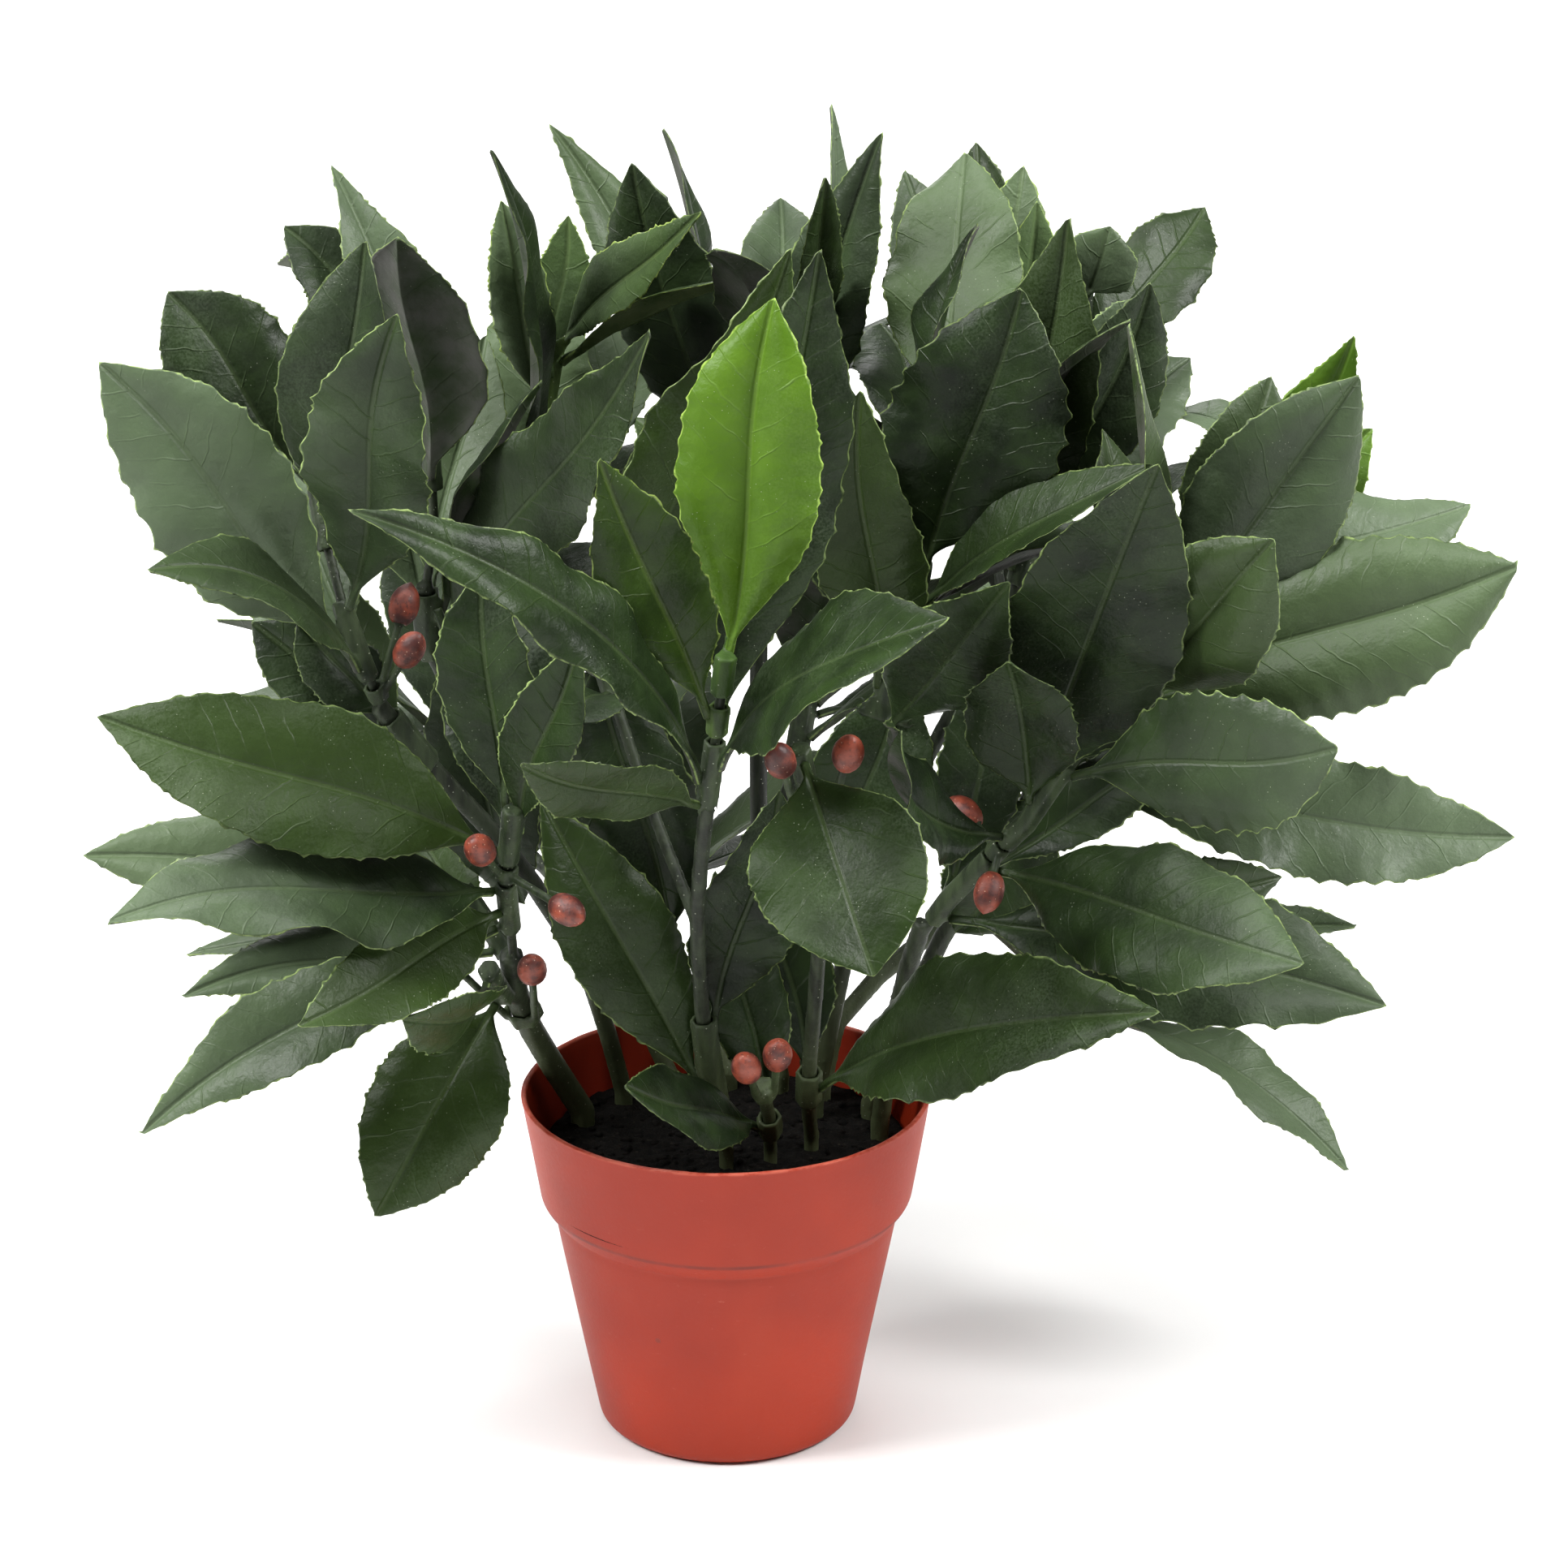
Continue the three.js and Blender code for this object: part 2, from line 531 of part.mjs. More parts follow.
/** One ring of the leaf: left margin, crest, right margin and keel, each [across, above]. */
function bladeRing(half, lift) {
  const thick = LEAF_THICKNESS / 2;
  return [[-half, lift], [0, thick], [half, lift], [0, -thick]];
}

/** A ring of the thicker leaf that tests for clearance, with blunt margins. */
function roomyRing(half, lift) {
  const thick = LEAF_THICKNESS / 2 + LEAF_ROOM;
  const wide = half + LEAF_ROOM;
  const high = lift + MARGIN_ROOM;
  const low = lift - MARGIN_ROOM;
  return [[-wide, high], [0, thick], [wide, high], [wide, low], [0, -thick], [-wide, low]];
}

/** The leaf's solid from its section first on, with either kind of ring. */
function leafSolid(leaf, first = 0, ringOf = bladeRing) {
  const positions = [];
  const triangles = [];
  const sections = leafSections(leaf).slice(first);
  for (const { middle, side, up, breadth } of sections) {
    const reach = breadth * leaf.width / 2;
    for (const [across, above] of ringOf(Math.max(STALK_HALF_WIDTH, reach), reach * leaf.fold)) {
      const point = middle.clone().addScaledVector(side, across).addScaledVector(up, above);
      positions.push(...point);
    }
  }
  positions.push(...leaf.tip);
  const count = ringOf(0, 0).length;
  const apex = sections.length * count;
  for (let i = 1; i < count - 1; i += 1) {
    triangles.push(0, i + 1, i);
  }
  for (let row = 0; row < sections.length; row += 1) {
    for (let i = 0; i < count; i += 1) {
      const here = row * count + i;
      const next = row * count + ((i + 1) % count);
      if (row === sections.length - 1) {
        triangles.push(here, next, apex);
      } else {
        triangles.push(here, next, next + count);
        triangles.push(here, next + count, here + count);
      }
    }
  }
  return solidOf(positions, triangles);
}

// Everything a new leaf must keep clear of: a solid, its box, and the set that it belongs to.
const taken = [];

function boxOf(solid) {
  const { min, max } = solid.boundingBox();
  return new THREE.Box3(new THREE.Vector3(...min), new THREE.Vector3(...max));
}

function take(solid, owner = "") {
  taken.push({ solid, owner, box: boxOf(solid) });
}

function isClear(solid, isCompared) {
  const box = boxOf(solid);
  return taken.filter(isCompared).every((other) => {
    return !box.intersectsBox(other.box) || solid.intersect(other.solid).isEmpty();
  });
}

// A leaf that would meet a neighbour is swung towards the eye or away from it by the first of these that
// clears it. If none does, a slimmer leaf is tried.
const SWINGS = [0, 5, -5, 10, -10, 16, -16, 23, -23, 31, -31, 40, -40, 50, -50];
const SMALL_SWINGS = SWINGS.slice(0, 5);
const SLIMNESSES = [1, 0.8, 0.65];

/** Finds a clear place for a leaf, and takes it. The leaf's own set and stem count from the blade on. */
function settle(leaf, tipAt, owner, stem, swings = SWINGS) {
  const isKin = (other) => other.owner === owner || other.owner === stem;
  for (const slimness of SLIMNESSES) {
    for (const swing of swings) {
      const tried = { ...leaf, tip: tipAt(swing), width: leaf.width * slimness };
      const whole = leafSolid(tried, 1, roomyRing);
      const blade = leafSolid(tried, 2, roomyRing);
      if (isClear(whole, (other) => !isKin(other)) && isClear(blade, isKin)) {
        take(whole, owner);
        return tried;
      }
    }
  }
  return null;
}

/** The place in a sleeve's wall, at a share of the way along its twig, on the side towards a point. */
function sleeveSide(twig, at, towards, radius) {
  const middle = twig.place(at);
  const tangent = twig.getTangent(THREE.MathUtils.clamp(at, 0, 1));
  const outward = towards.clone().sub(middle);
  outward.addScaledVector(tangent, -outward.dot(tangent)).setLength(radius + SLEEVE_WALL / 2);
  return middle.add(outward);
}

/** Makes room for the stem in a piece that is pushed over it, and drops the crumbs left in its forks. */
function fittedOver(stem, solid) {
  const pieces = solid.subtract(stems[stem].clearance).decompose();
  return pieces.reduce((largest, piece) => (piece.volume() > largest.volume() ? piece : largest));
}

/** The sleeve of a leaf set, which is pushed over its twig. */
function sleeveOf({ on, stretch: [from, to] }) {
  const { radius, twig } = twigs[on];
  const margin = SLEEVE_MARGIN / twig.getLength();
  return tube(twig.stretch(from - margin, to + margin), radius + SLEEVE_WALL);
}

/** The arranged leaves of a set that find a clear place, each from the next place along the sleeve. */
function arrangedLeaves({ name, on, stretch: [from, to], leaves }) {
  const { radius, twig, stem } = twigs[on];
  const settled = leaves.map(([place, face, width, arch, fold], index) => {
    const at = leaves.length > 1 ? from + (to - from) * index / (leaves.length - 1) : (from + to) / 2;
    const tipAt = (swing) => seen([place[0], place[1], place[2] + swing]);
    const base = sleeveSide(twig, at, tipAt(0), radius);
    return settle({ base, face: new THREE.Vector3(...face), width, arch, fold }, tipAt, name, stem);
  });
  return settled.filter((leaf) => leaf !== null);
}

/** A leaf that grows from a sleeve in a given direction, if it finds a clear place. */
function leafTowards({ name, on }, at, direction, leaf, length, swings = SWINGS) {
  const { radius, twig, stem } = twigs[on];
  const middle = twig.place(at);
  const tipAt = (swing) => {
    const tip = middle.clone().addScaledVector(direction, length);
    return tip.setZ(tip.z + swing);
  };
  const base = sleeveSide(twig, at, tipAt(0), radius);
  return settle({ ...leaf, base }, tipAt, name, stem, swings);
}

/** The leaves of a fan at the rear, which rise and sink by turns. */
function fanLeaves(set) {
  const [from, to] = set.stretch;
  const settled = FAN_RISES.map((rise, index) => {
    const share = index / (FAN_RISES.length - 1);
    const turn = THREE.MathUtils.degToRad(set.towards + (share - 0.5) * FAN_SPREAD);
    const outward = new THREE.Vector3(Math.cos(turn), Math.sin(turn), rise).normalize();
    const face = new THREE.Vector3(-FAN_TILT * Math.cos(turn), -FAN_TILT * Math.sin(turn), 1);
    const leaf = { face, width: FAN_WIDTH, arch: FAN_ARCH, fold: USUAL_FOLD };
    return leafTowards(set, from + (to - from) * share, outward, leaf, FAN_LENGTH);
  });
  return settled.filter((leaf) => leaf !== null);
}

function isInCrown(point) {
  return point.y > FILLER_FRONT && point.clone().sub(CROWN_CENTRE).divide(CROWN_SIZE).length() < 1;
}

/** More leaves round the sleeve of a set, wherever there is room for them inside the plant. */
function fillerLeaves(set) {
  const { twig } = twigs[set.on];
  const [from, to] = set.stretch;
  const wanted = set.fill ?? FILLERS;
  const settled = [];
  for (let index = 0; index < wanted * FILLER_TRIES && settled.length < wanted; index += 1) {
    const at = from + (to - from) * ((index % wanted) + 0.5) / wanted;
    const forward = twig.getTangent(THREE.MathUtils.clamp(at, 0, 1));
    const direction = new THREE.Vector3(0, 1, 0).cross(forward).normalize();
    direction.applyAxisAngle(forward, THREE.MathUtils.degToRad(index * GOLDEN_ANGLE));
    direction.addScaledVector(forward, FILLER_RISE).normalize();
    const leaf = { face: forward, width: FILLER_WIDTH, arch: FILLER_ARCH, fold: USUAL_FOLD };
    if (isInCrown(twig.place(at).addScaledVector(direction, FILLER_LENGTH))) {
      const found = leafTowards(set, at, direction, leaf, FILLER_LENGTH, SMALL_SWINGS);
      if (found) {
        settled.push(found);
      }
    }
  }
  return settled;
}

/** A leaf set: its leaves joined to their sleeve. */
function leafSetSolid({ name, on }) {
  const blades = leavesOf[name].map((leaf) => leafSolid(leaf));
  return fittedOver(twigs[on].stem, joined([sleeves[name], ...blades]));
}

// --- berries --------------------------------------------------------------------------------------------

// A berry's profile from its foot to its point, as shares of its radius and length.
const BERRY_PROFILE = [[0, 0], [0.75, 0.1], [1, BERRY_BELLY], [0.7, 0.76], [0, 1]];

function berrySolid(foot, direction) {
  const profile = BERRY_PROFILE.map(([radius, height]) => [radius * BERRY_RADIUS, height * BERRY_LENGTH]);
  const upright = new THREE.Vector3(0, 0, 1);
  const turn = new THREE.Matrix4().makeRotationFromQuaternion(
    new THREE.Quaternion().setFromUnitVectors(upright, direction),
  );
  return turned(profile, BERRY_SIDES).transform(turn.setPosition(foot).elements);
}

/** Berries on short stalks from one collar round their twig. */
function berrySprig({ on, at, berries }) {
  const { radius, twig, stem } = twigs[on];
  const half = BERRY_COLLAR / 2 / twig.getLength();
  let solid = tube(twig.stretch(at - half, at + half), radius + SLEEVE_WALL);
  for (const place of berries) {
    const root = sleeveSide(twig, at, seen(place), radius);
    const centre = seen(place);
    const direction = centre.clone().sub(root).normalize();
    const foot = centre.clone().addScaledVector(direction, -BERRY_LENGTH * BERRY_BELLY);
    const end = foot.clone().addScaledVector(direction, STALK_OVERLAP);
    solid = solid.add(straightTube(root, end, BERRY_STALK_RADIUS)).add(berrySolid(foot, direction));
  }
  return fittedOver(stem, solid);
}

// --- materials and assembly -----------------------------------------------------------------------------

const finish = (color, roughness) => new THREE.MeshStandardMaterial({ color, roughness, metalness: 0 });
const materials = {
  pot: finish(0xbe4a33, 0.5),
  soil: finish(0x1c1b1a, 0.95),
  stem: finish(0x2f3d2c, 0.55),
  dark: finish(0x32482f, 0.5),
  olive: finish(0x3d5a1f, 0.5),
  bright: finish(0x55882a, 0.5),
  berry: finish(0x8c4a36, 0.45),
};

const plant = new THREE.Group();
const pot = potSolid();
let soil = soilSolid();
const stems = {};
for (const [name, twigList] of Object.entries(STEMS)) {
  stems[name] = growStem(name, twigList);
  soil = soil.subtract(stems[name].hole);
  plant.add(meshOf(`stem_${name}`, stems[name].solid, materials.stem));
  take(stems[name].solid, name);
}
take(pot, "pot");
take(soil, "soil");
plant.add(meshOf("pot", pot, materials.pot), meshOf("soil", soil, materials.soil));
for (const sprig of BERRY_SPRIGS) {
  const solid = berrySprig(sprig);
  take(solid, twigs[sprig.on].stem);
  plant.add(meshOf(sprig.name, solid, materials.berry));
}
const sleeves = {};
const leavesOf = {};
for (const set of [...LEAF_SETS, ...REAR_FANS]) {
  sleeves[set.name] = sleeveOf(set);
  take(sleeves[set.name], twigs[set.on].stem);
}
for (const set of LEAF_SETS) {
  leavesOf[set.name] = arrangedLeaves(set);
}
for (const set of REAR_FANS) {
  leavesOf[set.name] = fanLeaves(set);
}
for (const set of [...LEAF_SETS, ...REAR_FANS]) {
  leavesOf[set.name].push(...fillerLeaves(set));
  plant.add(meshOf(set.name, leafSetSolid(set), materials[set.kind ?? "dark"]));
}

export default plant;
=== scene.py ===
# %% [markdown]
# # A potted bay laurel
# The plant is an artificial one: every leaf, sleeve, stem and berry is moulded plastic, and it stands
# in a thin nursery pot. The packed CAD model says where each part is and how large it is. This lesson
# reads those parts back, and builds each of them again with the shape and finish of the real thing.

import json
import math
import random

import bmesh
import bpy
import numpy as np
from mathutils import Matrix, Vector, noise


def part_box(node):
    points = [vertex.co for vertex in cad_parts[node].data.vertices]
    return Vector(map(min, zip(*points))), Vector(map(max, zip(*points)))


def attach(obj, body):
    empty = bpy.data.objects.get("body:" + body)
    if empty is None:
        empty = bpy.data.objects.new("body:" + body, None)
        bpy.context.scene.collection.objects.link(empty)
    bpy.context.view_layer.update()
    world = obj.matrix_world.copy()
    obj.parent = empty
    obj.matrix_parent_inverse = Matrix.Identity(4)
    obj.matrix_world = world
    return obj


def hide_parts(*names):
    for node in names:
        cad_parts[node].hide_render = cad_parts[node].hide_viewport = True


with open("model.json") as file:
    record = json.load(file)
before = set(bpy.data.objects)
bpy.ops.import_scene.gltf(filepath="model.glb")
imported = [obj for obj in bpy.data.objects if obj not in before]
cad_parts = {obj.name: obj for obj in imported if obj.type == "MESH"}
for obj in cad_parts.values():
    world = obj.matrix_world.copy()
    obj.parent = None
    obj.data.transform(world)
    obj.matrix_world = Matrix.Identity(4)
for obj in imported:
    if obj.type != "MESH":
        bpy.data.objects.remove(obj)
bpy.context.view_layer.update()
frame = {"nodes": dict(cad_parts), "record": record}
nodes = frame["nodes"]
MM = 0.001


# %% [markdown]
# ## Reading a part back
# An imported part has its corners split from face to face. Welding them gives one closed skin, whose
# neighbours can be walked from corner to corner. Everything below starts from such a skin.

# %% A welded skin of a CAD part
WELD = 0.002 * MM  # corners closer than this are one corner


def skin_of(name):
    """The CAD part as one welded bmesh."""
    skin = bmesh.new()
    skin.from_mesh(nodes[name].data)
    bmesh.ops.remove_doubles(skin, verts=skin.verts, dist=WELD)
    return skin


def neighbours(corners):
    """All corners that are one edge away from these."""
    return {edge.other_vert(corner) for corner in corners for edge in corner.link_edges}


def rings_from(apex, count):
    """The closed rings of count corners each that follow one another from a pointed end."""
    seen, ring, rings = {apex}, neighbours([apex]), []
    while len(ring) == count:
        rings.append(ring)
        seen |= ring
        ring = neighbours(ring) - seen
    return rings


print("pot corners", len(skin_of("pot").verts))

# %% [markdown]
# ## Finding the leaves
# Each CAD leaf is a long pointed solid with rings of four corners: two margins, a crest and a keel.
# Only the tip has four edges and a whole row of such rings behind it, so the tips are easy to find.
# The ring centres lie on one parabola, which is fitted through them and the tip.

# %% The leaves of a set
SECTIONS_FROM_TIP = [0.87, 0.68, 0.46, 0.25, 0.1]  # where the rings stand, as shares of the leaf's length
BROADEST = 2  # the ring at the leaf's broadest place
BLADE_RINGS = 4  # these rings are cut away with the tip, and the last one stays as the stalk's root


def crest_and_keel(ring):
    """The two facing corners that lie close together, and the two margins."""
    first = min(ring, key=lambda corner: tuple(corner.co))
    facing = next(corner for corner in ring if corner != first and corner not in neighbours([first]))
    pair, other = (first, facing), tuple(ring - {first, facing})
    if (pair[0].co - pair[1].co).length > (other[0].co - other[1].co).length:
        pair, other = other, pair
    return pair, other


def leaf_from(apex, rings):
    """Where a CAD leaf runs, how broad it is and which way it faces."""
    fractions, middles = [1.0], [apex.co.copy()]
    for fraction, ring in zip(SECTIONS_FROM_TIP, rings):
        (top, bottom), _ = crest_and_keel(ring)
        fractions.append(fraction)
        middles.append((top.co + bottom.co) / 2)
    powers = np.vander(np.array(fractions), 3, increasing=True)
    curve = np.linalg.lstsq(powers, np.array(middles), rcond=None)[0]
    (top, bottom), (left, right) = crest_and_keel(rings[BROADEST])
    margins = (left.co + right.co) / 2
    if (margins - top.co).length > (margins - bottom.co).length:
        top, bottom = bottom, top
    middle = (top.co + bottom.co) / 2
    up = np.array((top.co - bottom.co).normalized())
    fraction = SECTIONS_FROM_TIP[BROADEST]
    tangent = curve[1] + 2 * curve[2] * fraction
    side = np.cross(tangent, up)
    return {
        "curve": curve,
        "side": side / np.linalg.norm(side),
        "half": (left.co - right.co).length / 2,
        "lift": (margins - middle).dot(Vector(up)),
        "corners": {apex} | {corner for ring in rings[:BLADE_RINGS] for corner in ring},
    }


def leaves_in(skin):
    """Every leaf of a welded leaf set."""
    found = []
    for apex in skin.verts:
        if len(apex.link_edges) == 4:
            rings = rings_from(apex, 4)
            if len(rings) > BROADEST:
                found.append(leaf_from(apex, rings))
    return found


leaf_sets = sorted(name for name in nodes if name.startswith("leaf_") or name.startswith("leaves_"))
print("leaf sets", len(leaf_sets), "leaves", sum(len(leaves_in(skin_of(name))) for name in leaf_sets))

# %% [markdown]
# ## The outline of a leaf
# A laurel leaf is lanceolate: it tapers for a long way at both ends and is broadest a little below its
# middle. The outline is a smooth curve through a few given points. Each point is a share of the leaf's
# length and of its greatest half breadth, so that one outline suits leaves of every size.

# %% Smooth curves and the leaf outline
OUTLINE = [(0, 0), (0.05, 0.03), (0.1, 0.14), (0.17, 0.38), (0.26, 0.68), (0.37, 0.91), (0.48, 1)]
OUTLINE += [(0.6, 0.97), (0.72, 0.86), (0.83, 0.63), (0.91, 0.37), (0.965, 0.15), (1, 0.01)]


def smooth_through(points, at):
    """A smooth curve through the points, read at the given places."""
    places, values = np.array(points, float).T
    slopes = np.gradient(values, places)
    index = np.clip(np.searchsorted(places, at) - 1, 0, len(places) - 2)
    span = places[index + 1] - places[index]
    u = np.clip((at - places[index]) / span, 0, 1)
    start = (1 + 2 * u) * (1 - u) ** 2 * values[index] + u * (1 - u) ** 2 * span * slopes[index]
    return start + u**2 * (3 - 2 * u) * values[index + 1] + u**2 * (u - 1) * span * slopes[index + 1]


def eased(values, start, end):
    """0 before start, 1 after end, and a smooth rise between."""
    u = np.clip((values - start) / (end - start), 0, 1)
    return u * u * (3 - 2 * u)


print("breadth at a third", round(float(smooth_through(OUTLINE, np.array([0.33]))[0]), 2))

# %% [markdown]
# ## The blade
# The blade is lofted: each row is a closed ring, over the top from margin to margin and back underneath.
# Near the stalk the ring is round, and further out it is a thin, folded and slightly quilted sheet. The
# margin ripples, the midrib is a groove above and a rib below, and the pinnate veins raise soft pillows
# between them. Every leaf gets its own sway, twist and ripple, drawn from seeded chance.

# %% The upper face of the blade
ROWS = 88
HALF_COLUMNS = [0.0, 0.07, 0.2, 0.38, 0.56, 0.74, 0.9]  # from the midrib outwards
RIM_BAND = 0.45 * MM
FOLD_SOFTNESS, FOLD_DROP = 0.012, 0.11  # they round the fold at the midrib and keep it at its height
VEIN_STEP = 8.0 * MM
VEIN_SLANT = 0.8  # how far a vein runs forward for each step outwards
VEIN_DRIFT, VEIN_DRIFT_WAVES = 0.16, 2.3
VEIN_STAGGER = 0.5  # the veins of one side start between those of the other
GROOVE_DEPTH = 0.24 * MM
GROOVE_WIDTH = 0.8 * MM


def bell(distance, width):
    """1 in the middle, falling to nothing a few widths away."""
    return np.exp(-((distance / width) ** 2))


def columns_of(half):
    """Places across each row, from one margin to the other, with a narrow band along both margins."""
    band = 1 - np.clip(RIM_BAND / half, 0.02, 0.09)
    inner = np.outer(band, HALF_COLUMNS)
    right = np.concatenate([inner, band[:, None], np.ones((len(half), 1))], axis=1)
    return np.concatenate([-right[:, :0:-1], right], axis=1)


def top_surface(across, half, along, leaf, habit):
    """Height of the upper face over the leaf's middle line."""
    reach = half[:, None]
    spread = np.abs(across)
    fraction = along[:, None] / along[-1]
    softened = np.sqrt(spread**2 + FOLD_SOFTNESS) - FOLD_DROP
    fold = leaf["lift"] / leaf["half"] + habit["fold"]
    height = fold * reach * softened
    height += habit["camber"] * reach * np.sin(np.pi * np.clip(spread, 0, 1))
    height -= habit["reflex"] * reach * spread**4
    phase = np.where(across > 0, habit["phase"], habit["phase_other"])
    waves = np.sin(2 * np.pi * (habit["waves"] * fraction + phase))
    height += habit["ripple"] * reach * spread**2.5 * waves
    vein = (along[:, None] - VEIN_SLANT * spread * reach) / VEIN_STEP
    drift = VEIN_DRIFT * np.sin(2 * np.pi * (VEIN_DRIFT_WAVES * fraction + phase))
    vein = vein + drift + VEIN_STAGGER * (across > 0)
    pillows = np.cos(2 * np.pi * vein) * np.sin(np.pi * np.clip(spread, 0, 1))
    height += habit["quilt"] * pillows * np.sin(np.pi * fraction)
    height -= GROOVE_DEPTH * bell(across * reach, GROOVE_WIDTH)
    return height


print("columns", len(columns_of(np.array([0.018]))[0]), "rows", ROWS)

# %% [markdown]
# ## The growth of one leaf
# No two leaves are alike. Each one draws its own fold, camber, ripple, twist and so on, always in the
# same order, so that the plant comes out the same every time. Waves and lobes are counted for a leaf of
# a tenth of a metre, and a longer leaf has more of them.

# %% The habit of a leaf
USUAL_LENGTH = 0.1


def habit_of(chance, length):
    """The growth of one leaf: mostly shares of its own breadth and length, and counts along it."""
    return {
        "fold": chance.uniform(-0.05, 0.12),
        "camber": chance.uniform(-0.02, 0.14),
        "reflex": chance.uniform(-0.05, 0.2),
        "ripple": chance.uniform(0.06, 0.19),
        "waves": chance.uniform(1.6, 3.4) * length / USUAL_LENGTH,
        "phase": chance.random(),
        "phase_other": chance.random(),
        "twist": chance.uniform(-0.4, 0.4),
        "sway": chance.uniform(-0.025, 0.025) * length,
        "droop": chance.uniform(-0.04, 0.02) * length,
        "skew": chance.uniform(0.9, 1.15),
        "wobble": chance.uniform(0.02, 0.09),
        "lobes": chance.uniform(9, 15) * length / USUAL_LENGTH,
        "acumen": chance.uniform(0.0, 0.45),
        "quilt": chance.uniform(0.02, 0.13) * MM,
    }


print("traits of a leaf", len(habit_of(random.Random("sample"), USUAL_LENGTH)))

# %% The middle line of a blade
def middle_line(leaf, habit, fraction):
    """The leaf's spine, and the directions to its right and to its upper face, at each row."""
    spine = np.vander(fraction, 3, increasing=True) @ leaf["curve"]
    tangent = leaf["curve"][1] + 2 * np.outer(fraction, leaf["curve"][2])
    tangent /= np.linalg.norm(tangent, axis=1)[:, None]
    side = np.tile(leaf["side"], (ROWS, 1))
    up = np.cross(side, tangent)
    spine = spine + side * (habit["sway"] * np.sin(2 * np.pi * fraction))[:, None]
    spine = spine + up * (habit["droop"] * fraction**3)[:, None]
    turn = habit["twist"] * fraction**1.5
    side, up = (
        side * np.cos(turn)[:, None] + up * np.sin(turn)[:, None],
        up * np.cos(turn)[:, None] - side * np.sin(turn)[:, None],
    )
    return spine, side, up


# %% Breadth and thickness of a blade
STALK_RADIUS = 1.35 * MM
SLENDER, BROAD = 0.13, 0.2  # half breadth over length; only slender leaves end in a drawn-out point
MARGIN_THICKNESS = 0.35 * MM
MIDDLE_THICKENING, MIDDLE_WIDTH = 0.35 * MM, 5 * MM
RIB_HEIGHT, RIB_WIDTH = 1.1 * MM, 1.1 * MM


def half_breadths(leaf, habit, fraction, length):
    """Half of the leaf's breadth at each row, never less than its stalk near the root."""
    half = leaf["half"] * smooth_through(OUTLINE, fraction ** habit["skew"])
    slender = 1 - eased(leaf["half"] / length, SLENDER, BROAD)
    half *= 1 - habit["acumen"] * slender * eased(fraction, 0.6, 0.92)
    return np.maximum(half, STALK_RADIUS * (1 - eased(fraction, 0.2, 0.5)))


def two_faces(sheet, across, half, fraction):
    """Heights of the upper and the lower face: round at the stalk, a ribbed sheet further out."""
    offset = across * half[:, None]
    thickness = MARGIN_THICKNESS + MIDDLE_THICKENING * bell(offset, MIDDLE_WIDTH)
    rib = RIB_HEIGHT * bell(offset, RIB_WIDTH) * (1 - fraction[:, None]) ** 0.6
    round_part = STALK_RADIUS * np.sqrt(np.clip(1 - across**2, 0, 1))
    flat = eased(fraction, 0.05, 0.15)[:, None]
    top = flat * sheet + (1 - flat) * round_part
    bottom = flat * (sheet - thickness - rib) - (1 - flat) * round_part
    return top, bottom


def loft_faces(rows, ring_size, apex):
    """Faces between neighbouring rings, a fan to the tip and a cap at the root."""
    faces = [list(range(ring_size))[::-1]]
    for row in range(rows - 1):
        for place in range(ring_size):
            here, after = row * ring_size + place, row * ring_size + (place + 1) % ring_size
            faces.append([here, after, after + ring_size, here + ring_size])
    last = (rows - 1) * ring_size
    for place in range(ring_size):
        faces.append([last + place, last + (place + 1) % ring_size, apex])
    return faces


bright = leaves_in(skin_of("leaf_bright"))[0]
print("bright leaf's half breadth in mm", round(bright["half"] / MM, 1))

# %% [markdown]
# ## The margin
# The moulded margin is lobed and ragged. A wave with pointed crests gives the lobes, and each row adds a
# tooth of flash: mostly hardly any, and now and then a small spike. Both fade out at the stalk and tip.

# %% Teeth and lobes, and one blade as arrays
RAGGED = 0.15 * MM
SPIKE = 2.9 * MM
WITHOUT_SPIKE = 0.6  # the share of the rows that have no spike
FIRST_ROW = 0.015  # the blade starts this share of its length along, inside the sleeve


def tooth(chance):
    """How far one point of the margin stands out."""
    return RAGGED * chance.random() + SPIKE * max(0, chance.random() - WITHOUT_SPIKE) ** 1.4


def ragged(across, half, fraction, habit, chance):
    """Distance from the middle line, with the lobes and teeth of the margin."""
    teeth = np.array([[tooth(chance) for _ in ("left", "right")] for _ in range(ROWS)])
    teeth *= eased(fraction, 0.12, 0.2)[:, None] * (1 - eased(fraction, 0.94, 1.0))[:, None]
    starts = np.where(across > 0, habit["phase"], habit["phase_other"])
    points = 1 - np.abs(np.sin(np.pi * (habit["lobes"] * fraction[:, None] + starts)))
    reach = across * half[:, None] * (1 + habit["wobble"] * points * eased(fraction, 0.1, 0.3)[:, None])
    reach[:, 0] -= teeth[:, 0]
    reach[:, -1] += teeth[:, 1]
    return reach


